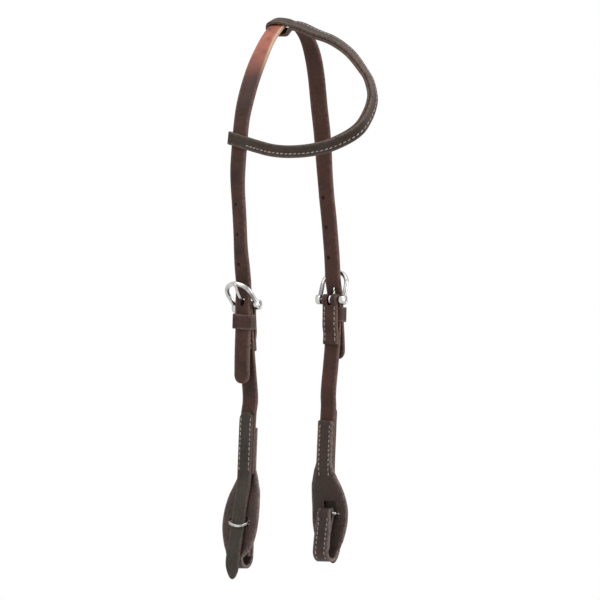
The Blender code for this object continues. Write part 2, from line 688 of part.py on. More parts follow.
def build_bit_strap(side, group, cutters):
    name = side["name"]
    bar = ring_places()[0]
    run = bit_run()
    loop = [(LOOP_OUT + x, LOOP_DEPTH - y) for x, y in arc((0, 0), BIT_LOOP_RADIUS, 0, -180, 13)]
    back = [(BIT_OUT + BIT_BULGE * out, CHEEK_END + BIT_REACH * down) for down, out in BIT_BACK_SHARES]
    hem_side = (bar[0] - HEM_RADIUS, bar[1] + HEM_RADIUS / 2)
    back_line = spline([loop[-1]] + back + [hem_side, (bar[0] - HEM_RADIUS, bar[1])])
    hem = [(bar[0] + x, bar[1] - y) for x, y in arc((0, 0), HEM_RADIUS, 180, 0, 13)]
    lining = [p for p in reversed(offset_left(back_line, -BIT_LEATHER - GAP))
              if bar[1] + BIT_REACH * TURN_IN_SHARE < p[1] < LOOP_DEPTH]
    turn_in = spline([hem[-1], (bar[0] + HEM_RADIUS, bar[1] + HEM_RADIUS / 2)]
                     + lining[::max(1, len(lining) // 4)])
    path = Path(run + loop[1:] + back_line[1:] + hem[1:] + turn_in[1:])
    run_length = Path(run).total
    loop_length = run_length + math.pi * BIT_LOOP_RADIUS
    hem_start = loop_length + Path(back_line).total
    top = tip_rows(path.total, SQUARE_END, SQUARE_END_SHARES, at_start=True)
    end = tip_rows(path.total, SQUARE_END, SQUARE_END_SHARES)

    def half(length, spot):
        if length < SQUARE_END:
            return HALF_WIDTH * tip_share(length, SQUARE_END, SQUARE_END_SHARES)
        if length < run_length:
            fill = read_table(TEARDROP_SHARES, (spot[1] - CHEEK_END) / BIT_REACH)
            return HALF_WIDTH + (TEARDROP_WIDTH / 2 - HALF_WIDTH) * fill
        if length < hem_start:
            return HALF_WIDTH + (HEM_HALF - HALF_WIDTH) * read_table(
                HEM_SHARES, (length - loop_length) / (hem_start - loop_length))
        return HEM_HALF * tip_share(path.total - length, SQUARE_END, SQUARE_END_SHARES)

    fine = list(np.linspace(BIT_LAP, run_length, 21))
    rows = path.rows(top + end + fine)
    rail = cheek_rail(side, path, rows, half)
    strap = ribbon(name + "_bit_strap", rail, BIT_LEATHER, hang(side, BIT_OUT, CHEEK_END), group,
                   material_for(name + "_bit_strap", "leather_dark"))
    depth = CHEEK_END + BIT_REACH * SLOT_CENTRE_SHARE
    length = 2 * (RING_HALF + RING_WIRE + SLOT_EASE)
    slot = cutter_box("cut_ring_slot_" + name, (length, BIT_LEATHER + OVERRUN / 3, SLOT_HEIGHT),
                      hang(side, bit_run_out(depth), depth), (0, 0, 0), cutters, 1, SLOT_HEIGHT / 4)
    cut(strap, slot)
    return strap


def build_tab(side, group):
    name = side["name"]
    reach = side["tab"]
    ring_depth = CHEEK_END + BIT_REACH * TAB_RISE_SHARES[-1][0]
    ring_level = bit_run_out(ring_depth) + TAB_SEAT
    table = [(CHEEK_END + BIT_REACH * down, TAB_OUT + (ring_level - TAB_OUT) * rise)
             for down, rise in TAB_RISE_SHARES]
    beyond = CHEEK_END + reach - ring_depth
    table += [(ring_depth + beyond * down, ring_level + TAB_KICK * kick) for down, kick in TAB_KICK_SHARES]
    depths = np.linspace(CHEEK_END - TAB_LAP, CHEEK_END + reach, 120)
    path = Path([(read_table(table, depth), depth) for depth in depths])
    half = TAB_WIDTH / 2
    top = tip_rows(path.total, half, ROUND_TIP_SHARES, at_start=True)
    end = tip_rows(path.total, TAB_TIP, POINT_TIP_SHARES)
    rows = path.rows(top + end)
    rail = cheek_rail(side, path, rows, lambda length, spot:
                      half * min(tip_share(length, half, ROUND_TIP_SHARES),
                                 tip_share(path.total - length, TAB_TIP, POINT_TIP_SHARES)))
    return ribbon(name + "_locking_tab", rail, TAB_LEATHER, hang(side, TAB_OUT, CHEEK_END), group,
                  material_for(name + "_locking_tab", "leather"))


def build_ring(side, group):
    name = side["name"]
    inner, outer = ring_places()
    origin = hang(side, *inner)
    origin.x = lean(CHEEK_END + BIT_REACH * SLOT_CENTRE_SHARE)
    tip = Vector((0, side["sign"] * (outer[0] - inner[0]), inner[1] - outer[1]))
    long = tip.length
    way = tip.normalized()
    wide = RING_HALF - RING_BOW_CORNER
    points = arc((wide, long - RING_BOW_CORNER), RING_BOW_CORNER, 0, 90, 5)
    points += [(x, long) for x in np.linspace(wide, -wide, 5)[1:-1]]
    points += arc((-wide, long - RING_BOW_CORNER), RING_BOW_CORNER, 90, 180, 5)
    points += arc((RING_CORNER - RING_HALF, RING_CORNER), RING_CORNER, 180, 270, 5)
    points += arc((RING_HALF - RING_CORNER, RING_CORNER), RING_CORNER, 270, 360, 5)
    spots = [Vector((x, 0, -RING_SAG * (1 - (x / RING_HALF) ** 2) * y / long)) + way * y for x, y in points]
    ring = wire(name + "_lock_ring", spots, RING_WIRE, (0, 0, 0), group,
                material_for(name + "_lock_ring", "steel"), closed=True)
    ring.location = origin
    return ring


def strap_frame(side, axis, target):
    """Centre, direction down the strap and outward normal of the crown at an out (0) or a depth (1)."""
    spots = crown_path(side).points
    first = next(i for i, spot in enumerate(spots) if spot[axis] >= target)
    before, after = spots[first - 1], spots[first]
    spot = before + (after - before) * (target - before[axis]) / (after[axis] - before[axis])
    ahead = hang(side, *(spot + (after - before))) - hang(side, *(spot - (after - before)))
    ahead.x = 0
    ahead.normalize()
    normal = Vector((0, -side["sign"] * ahead.z, side["sign"] * ahead.y))
    return hang(side, *spot), ahead, normal


def ear_ends():
    """The near strap's frame under each end of the ear loop."""
    near = SIDES[0]
    return strap_frame(near, 0, EAR_TOP_OUT), strap_frame(near, 1, EAR_LOW_DEPTH)


def ear_axis():
    """Where the strap's normals at the two ends of the ear loop meet."""
    (top, _, n1), (low, _, n2) = ear_ends()
    area = n1.y * n2.z - n1.z * n2.y
    gap = low - top
    along = (gap.y * n2.z - gap.z * n2.y) / area
    return Vector((0, top.y + n1.y * along, top.z + n1.z * along))


def ear_line():
    """The ear loop's middle line, from behind the crown round to behind the near strap."""
    (top, _, _), (low, low_way, _) = ear_ends()
    chord = low - top
    chord.x = 0
    slant = math.radians(EAR_LOW_SLANT)
    forward = Vector((math.cos(slant), 0, 0)) + low_way * math.sin(slant)
    forward.normalize()
    edge = HALF_WIDTH + EAR_BACK_CLEAR
    level = edge + (EAR_CLOSE - edge) / 4
    knots = [top + Vector((x, 0, 0)) for x in (-edge, 0, edge, level)]
    knots += [top + Vector((EAR_REACH * x, 0, 0)) + chord * share for x, share in EAR_ARC_SHARES]
    knots += [low + forward * x for x in (level, edge, 0, -edge)]
    return Path(spline(knots, 10)), edge, forward


def build_ear(group):
    line, edge, forward = ear_line()
    (top, top_way, top_normal), (low, low_way, low_normal) = ear_ends()
    half = EAR_WIDTH / 2
    close = EAR_CLOSE - HALF_WIDTH
    start = line.lengths[np.argmax(line.points[:, 0] >= edge)]
    low_edge = (low + forward * edge).x
    stop = max(l for l, p in zip(line.lengths, line.points) if p[0] >= low_edge)
    turn_top = line.lengths[np.argmax(line.points[:, 0] >= EAR_TURN_BACK)]
    turn_low = max(l for l, p in zip(line.lengths, line.points) if p[0] >= EAR_TURN_BACK)
    angle_top = math.atan2(-top_way.z, -top_way.y)
    angle_low = math.atan2(low_way.z, low_way.y)
    seats = {
        "top": (LEATHER / 2 + EAR_TOP_CLEAR + EAR_LEATHER / 2,
                -LEATHER / 2 - EAR_TOP_UNDER - EAR_LEATHER / 2),
        "low": (LEATHER / 2 + EAR_LOW_CLEAR + EAR_LEATHER / 2,
                -LEATHER / 2 - EAR_LOW_UNDER - EAR_LEATHER / 2),
    }

    def layer(lengths, which):
        """Rows of the outer layer (0) or the inner one (1): apart at the straps, together between."""
        rows = []
        meet = EAR_LAYER if which == 0 else -EAR_LAYER
        for length in lengths:
            place, ahead = Vector(line.at(length)), Vector(line.along(length))
            angle = angle_top + (angle_low - angle_top) * ease((length - start) / (stop - start))
            across = Vector((0, math.cos(angle), math.sin(angle)))
            across = (across - ahead * across.dot(ahead)).normalized()
            normal = ahead.cross(across).normalized()
            near_top = 1 - ease((length - start) / close)
            near_low = 1 - ease((stop - length) / close)
            apart = (meet + (seats["top"][which] - meet) * near_top
                     + (seats["low"][which] - meet) * near_low)
            rows.append((place + normal * apart, across, half))
        return rows

    def loop(place, way, normal, seat, ahead):
        """Rows round the strap's back edge and along it, from the outer layer to the inner one."""
        high, deep = seat
        back = EAR_BEND - HALF_WIDTH - EAR_BACK_CLEAR - EAR_LEATHER / 2
        points = arc((back, high - EAR_BEND), EAR_BEND, 90, 180, 5)
        points += arc((back, deep + EAR_BEND), EAR_BEND, 180, 270, 5)
        return [(place + ahead * (x / ahead.x) + normal * y, way, half / ahead.x) for x, y in points]

    bends = [start + length for length in np.linspace(0, close, EAR_BENDS)]
    bends += [stop - length for length in np.linspace(0, close, EAR_BENDS)]
    steps = math.ceil((stop - start) / EAR_STEP)
    even = [start + (stop - start) * k / steps for k in range(steps + 1)]
    butts = [turn_top, turn_top + EAR_BUTT, turn_low - EAR_BUTT, turn_low]
    fixed = bends + [turn_top, turn_low]
    even = [e for e in even if all(abs(e - f) > EAR_STEP / 4 for f in bends + butts)]
    rows = sorted(line.rows(fixed + even) + butts[1:3])
    whole = [r for r in rows if start <= r <= stop and r not in butts[1:3]]
    back_top = [r for r in whole if r <= turn_top]
    back_low = [r for r in whole if r >= turn_low]
    rail = layer(reversed(back_top), 1)
    rail += reversed(loop(top, -top_way, top_normal, seats["top"], Vector((1, 0, 0))))
    rail += layer(whole, 0)
    rail += loop(low, low_way, low_normal, seats["low"], forward)
    rail += layer(reversed(back_low), 1)
    axis = ear_axis()
    band = ribbon("ear_band", rail, EAR_LEATHER, axis, group, material_for("ear_band", "leather"))
    middle = [r for r in rows if butts[1] <= r <= butts[2]]
    lining = ribbon("ear_lining", layer(middle, 1), EAR_LEATHER, axis, group,
                    material_for("ear_lining", "leather_inside"))
    return band, lining


def build():
    clear_scene()
    group = bpy.data.collections.new("western_headstall")
    cutters = bpy.data.collections.new("cutters")
    bpy.context.scene.collection.children.link(group)
    bpy.context.scene.collection.children.link(cutters)
    root = link(bpy.data.objects.new("poll", None), group)
    build_crown(group, cutters)
    build_ear(group)
    for side in SIDES:
        build_cheek(side, group, cutters)
        build_keeper(side, group)
        build_buckle(side, group, cutters)
        build_bit_strap(side, group, cutters)
        build_tab(side, group)
        build_ring(side, group)
    for thing in group.objects:
        if thing is not root and thing.parent is None:
            thing.parent = root
    bpy.context.view_layer.update()


build()
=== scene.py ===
import bpy
import bmesh
import math
import numpy as np
from mathutils import Vector, Matrix, noise


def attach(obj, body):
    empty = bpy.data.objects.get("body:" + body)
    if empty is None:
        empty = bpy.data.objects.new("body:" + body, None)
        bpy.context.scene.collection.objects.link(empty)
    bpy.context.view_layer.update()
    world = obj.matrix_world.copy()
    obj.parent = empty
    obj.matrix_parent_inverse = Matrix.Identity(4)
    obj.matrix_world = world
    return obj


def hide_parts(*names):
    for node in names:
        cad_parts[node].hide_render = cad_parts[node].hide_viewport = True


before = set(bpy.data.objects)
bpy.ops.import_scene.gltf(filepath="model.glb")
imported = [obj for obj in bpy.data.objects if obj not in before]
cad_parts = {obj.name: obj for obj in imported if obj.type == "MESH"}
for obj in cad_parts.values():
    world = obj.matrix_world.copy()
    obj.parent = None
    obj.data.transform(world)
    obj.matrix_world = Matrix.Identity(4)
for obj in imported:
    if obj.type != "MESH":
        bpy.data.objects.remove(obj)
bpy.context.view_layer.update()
print("stage: frame loaded,", len(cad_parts), "nodes")

# All sizes are metres, all turns degrees. Depth is counted down from the crown, out from the middle of the
# headstall, and the tables hold shares of a length and of a reach.
leather = {"width": 0.016, "strap": 0.0032, "bit": 0.003, "tab": 0.003, "ear": 0.003, "keeper": 0.002,
           "gap": 0.0003, "edgeRound": 0.00095}

hanging = {
    "spread": 0.0775, "flat": 0.009, "drop": 0.165, "sideDrop": 0.0015,
    "sway": 0.012, "swayStart": 0.002, "swayEnd": 0.090, "lean": 0.009, "bow": 0.002, "twist": 20,
    "leanTable": ((0, 0), (0.257, 0), (0.386, 0.5), (0.515, 1), (0.6, 1.07), (0.68, 1.04), (0.75, 0.82),
                  (0.851, 0.6), (0.901, 0.58), (0.931, 0.46), (0.962, 0.33), (1, 0.2)),
    "barDepth": 0.261, "barSetIn": 0.003, "barRadius": 0.00175,
    "cheekLength": 0.157, "bitReach": 0.0867,
}

near = {
    "name": "near", "sign": -1, "drop": hanging["sideDrop"], "tilt": 38, "play": 10,
    "tail": 0.072, "tab": 0.098,
    "twistTable": ((0.06, 0), (0.25, 1), (0.4, 0.8), (0.56, 0), (0.76, 0), (0.95, -0.5), (1.2, -0.6),
                   (1.4, 0)),
}
far = {
    "name": "far", "sign": 1, "drop": -hanging["sideDrop"], "tilt": 21.5, "play": 0,
    "tail": 0.056, "tab": 0.090, "twistTable": ((0.06, 0), (0.25, 1), (0.6, 1), (0.95, 0)),
}

halfWidth = leather["width"] / 2
gap = leather["gap"]
foldRadius = hanging["barRadius"] + gap + leather["strap"] / 2
billetSeat = foldRadius + leather["strap"] + gap
barOut = hanging["spread"] - hanging["barSetIn"]
barDepth = hanging["barDepth"]
cheekEnd = barDepth + hanging["cheekLength"]
bitReach = hanging["bitReach"]
hangDepth = cheekEnd + bitReach


def levelOut(share):
    share = min(max(share, 0), 1)
    return share * share * (3 - 2 * share)


def tableValue(table, share):
    # smooth between the rows without overshoot, level at both ends
    places = [row[0] for row in table]
    values = [row[1] for row in table]
    if share <= places[0]:
        return values[0]
    if share >= places[-1]:
        return values[-1]
    i = max(k for k in range(len(places)) if places[k] <= share)
    slopes = [0.0] * len(places)
    for k in range(1, len(places) - 1):
        before = (values[k] - values[k - 1]) / (places[k] - places[k - 1])
        after = (values[k + 1] - values[k]) / (places[k + 1] - places[k])
        slopes[k] = 0 if before * after <= 0 else 2 * before * after / (before + after)
    span = places[i + 1] - places[i]
    t = (share - places[i]) / span
    return ((1 + 2 * t) * (1 - t) ** 2 * values[i] + t * (1 - t) ** 2 * span * slopes[i]
            + t * t * (3 - 2 * t) * values[i + 1] + t * t * (t - 1) * span * slopes[i + 1])


def hang(side, out, depth, along=0.0):
    # a point of a cheek in the headstall's frame
    lean = hanging["lean"] * tableValue(hanging["leanTable"], depth / hangDepth)
    sway = -hanging["sway"] * levelOut((depth - hanging["swayStart"])
                                       / (hanging["swayEnd"] - hanging["swayStart"]))
    drop = side["drop"] * levelOut(depth / hanging["drop"])
    return Vector((lean + along, side["sign"] * out + sway, leather["strap"] / 2 - depth - drop))


def throughKnots(knots, fine=14):
    # a smooth curve through the knots, with so many fine points to each stretch
    pts = [np.array(k, dtype=float) for k in knots]
    pts = [2 * pts[0] - pts[1]] + pts + [2 * pts[-1] - pts[-2]]
    curve = []
    for i in range(1, len(pts) - 2):
        p0, p1, p2, p3 = pts[i - 1:i + 3]
        t1 = np.linalg.norm(p1 - p0) ** 0.5
        t2 = t1 + np.linalg.norm(p2 - p1) ** 0.5
        t3 = t2 + np.linalg.norm(p3 - p2) ** 0.5
        for t in np.linspace(t1, t2, fine, endpoint=False):
            a1 = ((t1 - t) * p0 + t * p1) / t1
            a2 = ((t2 - t) * p1 + (t - t1) * p2) / (t2 - t1)
            a3 = ((t3 - t) * p2 + (t - t2) * p3) / (t3 - t2)
            b1 = ((t2 - t) * a1 + t * a2) / t2
            b2 = ((t3 - t) * a2 + (t - t1) * a3) / (t3 - t1)
            curve.append(((t2 - t) * b1 + (t - t1) * b2) / (t2 - t1))
    return curve + [pts[-2]]


def arcOf(centre, radius, start, end, count):
    return [(centre[0] + radius * math.cos(math.radians(a)), centre[1] + radius * math.sin(math.radians(a)))
            for a in np.linspace(start, end, count)]


class Line:
    # a dense line that can be read at any length along it

    def __init__(self, points):
        self.points = np.array([tuple(p) for p in points], dtype=float)
        steps = np.linalg.norm(np.diff(self.points, axis=0), axis=1)
        self.points = self.points[np.concatenate(([True], steps > 1e-8))]
        steps = np.linalg.norm(np.diff(self.points, axis=0), axis=1)
        self.lengths = np.concatenate(([0.0], np.cumsum(steps)))
        self.total = self.lengths[-1]

    def at(self, length):
        return np.array([np.interp(length, self.lengths, self.points[:, k])
                         for k in range(self.points.shape[1])])

    def along(self, length, reach=0.0006):
        ahead = self.at(min(length + reach, self.total)) - self.at(max(length - reach, 0))
        return ahead / np.linalg.norm(ahead)

    def rows(self, extra):
        # lengths that keep the bends true, with the extra ones in place of any that lie next to them
        longest, chordError, apart = 0.0035, 0.000006, 0.0001
        fixed = sorted({0.0, self.total, *[e for e in extra if 0 < e < self.total]})
        rows, first = [0.0], 0
        for k in range(2, len(self.points)):
            chord = self.points[k] - self.points[first]
            length = np.linalg.norm(chord)
            between = self.points[first + 1:k] - self.points[first]
            beside = between - np.outer(between @ chord, chord) / length ** 2
            if np.linalg.norm(beside, axis=1).max() > chordError or length > longest:
                first = k - 1
                rows.append(self.lengths[first])
        return sorted([r for r in rows if all(abs(r - f) > apart for f in fixed)] + fixed)


def dense(points, step):
    # the same line with points no further apart than a step
    line = Line(points)
    return [line.at(l) for l in np.linspace(0, line.total, max(2, math.ceil(line.total / step)))]


def roundedLoop(half, low, high, tight, wide, step, count):
    # a closed loop between low and high, its lower corners tight and its upper ones wide
    points = []
    for x, y, turn, r in ((half, high - wide, 0, wide), (-half, high - wide, 90, wide),
                          (-half, low + tight, 180, tight), (half, low + tight, 270, tight)):
        points += arcOf((x - math.copysign(r, x), y), r, turn, turn + 90, count)
    return dense(points + points[:1], step)[:-1]


# straps are built row by row along a line
cutEnd = {
    "steps": (0, 0.06, 0.2, 0.42, 0.7, 1), "crowd": 13, "square": 0.003, "corner": 0.0016,
    "least": 0.06, "fullness": 2.3, "shoulder": 2.1,
    "point": ((0, 0.08), (0.04, 0.2), (0.15, 0.43), (0.35, 0.68), (0.58, 0.86), (0.82, 0.97), (1, 1)),
}


def endRows(at, way):
    # rows that round off a cut end
    return [at + way * leather["edgeRound"] * s for s in cutEnd["steps"]]


def tipLengths(total, tip, atStart=False):
    # rows crowded towards a tip, for a clean outline
    turns = (math.radians(90) * k / cutEnd["crowd"] for k in range(cutEnd["crowd"] + 1))
    rows = [tip * (1 - math.cos(a)) for a in turns] + endRows(0, 1)
    return sorted(rows if atStart else [total - r for r in rows])


def roundTip(distance, tip):
    share = min(max(distance / tip, 0), 1)
    return max(cutEnd["least"], (1 - (1 - share) ** cutEnd["fullness"]) ** (1 / cutEnd["shoulder"]))


def pointTip(distance, tip):
    return tableValue(cutEnd["point"], distance / tip)


def squareTip(distance):
    corner = cutEnd["corner"]
    share = min(max(distance / corner, 0), 1)
    return (1 - corner / halfWidth) + corner / halfWidth * math.sqrt(1 - (1 - share) ** 2)


class Strap:
    # rows of a strap: where each is, which way it lies, and how wide and thick it is there

    def __init__(self, lengths, places, acrosses, halves, thick, grainSign, closed=False):
        self.lengths = np.array(lengths)
        self.places = np.array([tuple(p) for p in places])
        self.halves = np.array(halves)
        self.thick = thick
        self.closed = closed
        if closed:
            ahead = np.roll(self.places, -1, 0) - np.roll(self.places, 1, 0)
        else:
            ahead = np.gradient(self.places, axis=0)
        ahead /= np.linalg.norm(ahead, axis=1)[:, None]
        across = np.array([tuple(a) for a in acrosses])
        across -= ahead * (across * ahead).sum(1)[:, None]
        across /= np.linalg.norm(across, axis=1)[:, None]
        self.ahead, self.across = ahead, across
        self.normal = np.cross(ahead, across) * grainSign

    def surface(self, length, aside, face):
        # place, way along and way out of a point on the grain side (1) or the flesh side (-1)
        place, ahead, across, normal = (
            Vector([np.interp(length, self.lengths, rows[:, k]) for k in range(3)])
            for rows in (self.places, self.ahead, self.across, self.normal))
        normal = normal.normalized() * face
        return place + across * aside + normal * self.thick / 2, ahead.normalized(), normal


crease = {"away": 0.0019, "depth": 0.00014, "broad": 0.00045}
seamGroove = {"depth": 0.00022, "broad": 0.0007, "past": 0.0015}
bothEdges, wholeLength = 0, (-1, 9)


def creaseLine(away=crease["away"], depth=crease["depth"]):
    return away, depth, crease["broad"], bothEdges, *wholeLength


def seamGrooves(fullHalf, seam, asides, narrowed=1.0):
    # sewing grooves at distances from the middle; narrowed is the strap's width there over its widest
    start, end = seam[0] - seamGroove["past"], seam[1] + seamGroove["past"]
    return [(fullHalf - abs(aside) / narrowed, seamGroove["depth"], seamGroove["broad"] / narrowed,
             1 if aside > 0 else -1, start, end) for aside in asides]


section = {
    "roundLimit": 0.42, "roundEnd": 75, "roundSteps": 7, "roundFlat": 25, "shoulder": 1.6,
    "grooveKnee": 0.45, "grooveFade": 0.002, "deepGroove": 0.0003,
    "rimWidth": 0.0016, "shadeStretch": 1.6, "wander": 0.00012, "wanderScale": 38,
}


def ringPoints(full, r, grooves):
    # once round a strap: (kind, edge, distance from that edge or angle, face)
    offsets = {}
    for edge in (-1, 1):
        found = {r, r * section["shoulder"], full * 0.5}
        for away, depth, broad, which, start, end in grooves:
            if which in (bothEdges, edge):
                knee = broad * section["grooveKnee"]
                found |= {away - broad, away - knee, away, away + knee, away + broad}
        offsets[edge] = sorted(x for x in found if r <= x < full)
    ring, turn = [], section["roundEnd"]
    for face in (1, -1):
        ring += [("face", -face, x, face) for x in offsets[-face]] + [("face", 0, full, face)]
        ring += [("face", face, x, face) for x in offsets[face][::-1]]
        ring += [("round", face, a, 0) for a in np.linspace(face * turn, -face * turn, section["roundSteps"])]
    return ring


def strapMesh(name, strap, grooves, edgeRound=leather["edgeRound"], wander=section["wander"]):
    # grooves in the grain side: (distance from edge, depth, half breadth, which edge, start, end)
    thin, full, total = strap.thick / 2, strap.halves.max(), strap.lengths[-1]
    r = min(edgeRound, strap.thick * section["roundLimit"])
    ring = ringPoints(full, r, grooves)
    bm = bmesh.new()
    layers = {key: bm.verts.layers.float.new(key) for key in ("rim", "flesh", "seam")}
    rings = []
    for i, length in enumerate(strap.lengths):
        half = strap.halves[i]
        scale = half / full
        squeeze, fromEnd = 1.0, min(length, total - length)
        if not strap.closed and fromEnd < r:
            squeeze = 1 - (r - math.sqrt(max(r * r - (r - fromEnd) ** 2, 0))) / thin
        place, across, normal = (Vector(x[i]) for x in (strap.places, strap.across, strap.normal))
        drift = noise.noise(place * section["wanderScale"]) * wander * scale
        verts = []
        for kind, edge, a, face in ring:
            seam = 0.0
            if kind == "face":
                aside, level = edge * (half - a * scale), thin
                for away, depth, broad, which, start, end in grooves:
                    if edge and face == 1 and which in (bothEdges, edge) and start <= length <= end:
                        inside = max(0.0, 1 - abs(a - away) / broad)
                        fade = min(1.0, (length - start) / section["grooveFade"],
                                   (end - length) / section["grooveFade"])
                        level -= depth * levelOut(inside) * fade * squeeze
                        seam = max(seam, inside * fade * depth / section["deepGroove"])
                rise = face * level
                rim = max(0.0, 1 - (a * scale - r) / section["rimWidth"]) if edge else 0.0
            else:
                angle = math.radians(a)
                aside = edge * (half - r * scale + r * scale * math.cos(angle))
                flat = np.sign(angle) * min(1, abs(a) / section["roundFlat"])
                rise = (thin - r) * flat + r * math.sin(angle)
                rim = 1.0
            vert = bm.verts.new(place + across * (aside + drift) + normal * rise * squeeze)
            vert[layers["rim"]] = max(min(rim, 1.0), 1 - squeeze)
            vert[layers["flesh"]] = 0.5 - 0.5 * max(-1.0, min(1.0, rise / thin * section["shadeStretch"]))
            vert[layers["seam"]] = min(seam, 1.0)
            verts.append(vert)
        rings.append(verts)
    skinRings(bm, rings, strap.closed)
    return solidPiece(name, bm)


def skinRings(bm, rings, closed=False):
    # faces from ring to ring, and a cap on each end of an open run
    pairs = list(zip(rings[:-1], rings[1:])) + ([(rings[-1], rings[0])] if closed else [])
    for one, two in pairs:
        for k in range(len(one)):
            n = (k + 1) % len(one)
            bm.faces.new((one[k], one[n], two[n], two[k]))
    if not closed:
        bm.faces.new(rings[0][::-1])
        bm.faces.new(rings[-1])


def circleOf(bm, centre, right, up, sides):
    turns = (2 * math.pi * k / sides for k in range(sides))
    return [bm.verts.new(centre + right * math.cos(a) + up * math.sin(a)) for a in turns]


def solidPiece(name, bm):
    bmesh.ops.recalc_face_normals(bm, faces=bm.faces)
    return meshPiece(name, bm)


def meshPiece(name, bm):
    mesh = bpy.data.meshes.new(name)
    bm.to_mesh(mesh)
    bm.free()
    piece = bpy.data.objects.new(name, mesh)
    bpy.context.scene.collection.objects.link(piece)
    mesh.polygons.foreach_set("use_smooth", [True] * len(mesh.polygons))
    return piece


def punch(piece, cutters, sharpFrom=38):
    # cuts through with exact booleans, then keeps only the finished mesh
    before = {v.co.to_tuple(6) for v in piece.data.vertices}
    for cutter in cutters:
        step = piece.modifiers.new(cutter.name, 'BOOLEAN')
        step.operation, step.solver, step.object = 'DIFFERENCE', 'EXACT', cutter
    bpy.context.view_layer.update()
    done = bpy.data.meshes.new_from_object(piece.evaluated_get(bpy.context.evaluated_depsgraph_get()))
    piece.modifiers.clear()
    piece.data = done
    for cutter in cutters:
        bpy.data.objects.remove(cutter, do_unlink=True)
    # a face that has none of the strap's own corners is a wall of the cut; the finish paints these walls dark
    # as painted shade
    added = [v.co.to_tuple(6) not in before for v in done.vertices]
    walls = [float(all(added[k] for k in face.vertices)) for face in done.polygons]
    done.attributes.new("cut", 'FLOAT', 'FACE').data.foreach_set("value", walls)
    done.polygons.foreach_set("use_smooth", [True] * len(done.polygons))
    done.set_sharp_from_angle(angle=math.radians(sharpFrom))
    return piece


pin = {"sides": 28, "flare": 0.00035, "slotFlare": 0.0003,
       "lip": ((2.2, 3), (1, 0.2), (0.35, -0.35), (0, -1))}          # in flares, out and up


def flaredPin(name, radius, depth, place, turn, stretch, flare):
    # a punch with a rounded lip at both faces; stretch makes it a slot along its own Z
    bm = bmesh.new()
    profile = [(radius + flare * out, depth / 2 + flare * up) for out, up in pin["lip"]]
    rings = []
    for wide, y in profile + [(x, -y) for x, y in profile[::-1]]:
        ring = []
        for k in range(pin["sides"]):
            a = 2 * math.pi * k / pin["sides"]
            z = wide * math.sin(a)
            ring.append(bm.verts.new((wide * math.cos(a), y, z + math.copysign(stretch / 2, z))))
        rings.append(ring)
    skinRings(bm, rings)
    cutter = solidPiece(name, bm)
    cutter.location, cutter.rotation_euler = place, turn
    return cutter


def boxPunch(name, size, corner, place, lowOnly=False):
    # a box that cuts along Y, with its edges along Y rounded, all of them or the lower two
    bm = bmesh.new()
    bmesh.ops.create_cube(bm, size=1)
    bmesh.ops.scale(bm, vec=size, verts=bm.verts)
    ends = [e for e in bm.edges if abs(e.verts[0].co.y - e.verts[1].co.y) > size[1] / 2
            and not (lowOnly and e.verts[0].co.z > 0)]
    bmesh.ops.bevel(bm, geom=ends, offset=corner, segments=6, profile=0.5, affect='EDGES')
    cutter = meshPiece(name, bm)
    cutter.location = place
    return cutter


wireRun = {"step": 0.0006, "endTurns": (25, 50, 70, 84), "endReach": 0.8, "sides": 20, "thickSides": 24}


def tube(name, points, radius, closed=False, sides=wireRun["sides"]):
    # a round wire swept along points without twisting, its ends rounded off
    pts = [Vector(p) for p in points]
    n = len(pts)

    def way(i):
        if closed:
            return (pts[(i + 1) % n] - pts[i - 1]).normalized()
        return (pts[min(i + 1, n - 1)] - pts[max(i - 1, 0)]).normalized()
    stations = [(pts[i], way(i), 1.0) for i in range(n)]
    if not closed:
        for end, inward in ((0, 1), (-1, -1)):
            place, ahead, _ = stations[end]
            caps = [(place - ahead * inward * radius * wireRun["endReach"] * math.sin(a), ahead, math.cos(a))
                    for a in (math.radians(d) for d in wireRun["endTurns"])]
            stations = caps[::-1] + stations if end == 0 else stations + caps
    side = Vector((0, 1, 0)) if abs(stations[0][1].x) > 0.9 else Vector((1, 0, 0))
    bm = bmesh.new()
    rings = []
    for place, ahead, share in stations:
        side = (side - ahead * side.dot(ahead)).normalized()
        wide = radius * share
        rings.append(circleOf(bm, place, side * wide, ahead.cross(side) * wide, sides))
    skinRings(bm, rings, closed)
    return solidPiece(name, bm)


thread = {
    "pitch": 0.0046, "length": 0.0041, "radius": 0.0005, "slant": 7, "sides": 10,
    "rings": (-1, -0.93, -0.8, -0.55, -0.2, 0.2, 0.55, 0.8, 0.93, 1),
    "wander": 3, "uneven": 0.08, "taper": 0.55, "rise": 0.42, "dive": 1.75, "broad": 1.12, "flat": 0.9,
}


def stitch(bm, middle, ahead, normal, turn, half, wobble):
    # one stitch that dives into the leather at both ends
    way = ahead * math.cos(turn) + normal.cross(ahead) * math.sin(turn)
    side = normal.cross(way)
    rings = []
    for s in thread["rings"]:
        wide = thread["radius"] * (1 + thread["uneven"] * wobble)
        wide *= 1 - thread["taper"] * max(0, abs(s) - 0.5) * 2
        lift = thread["radius"] * (thread["rise"] - thread["dive"] * s ** 4) - seamGroove["depth"]
        rings.append(circleOf(bm, middle + way * (half * s) + normal * lift, side * thread["broad"] * wide,
                              normal * thread["flat"] * wide, thread["sides"]))
    skinRings(bm, rings)


def sew(name, rows):
    # rows of saddle stitches: each is (strap, start, end, distance from the middle, face)
    bm = bmesh.new()
    count = 0
    for strap, start, end, aside, face in rows:
        number = max(1, round((end - start) / thread["pitch"]))
        pitch = (end - start) / number
        for k in range(number):
            count += 1
            wobble = noise.noise(Vector((count * 1.7, aside * 900, face)))       # its own place in the noise
            turn = math.radians(thread["slant"] * face + thread["wander"] * wobble)
            half = thread["length"] / 2 * (pitch / thread["pitch"])
            stitch(bm, *strap.surface(start + pitch * (k + 0.5), aside, face), turn, half, wobble)
    return solidPiece(name, bm)


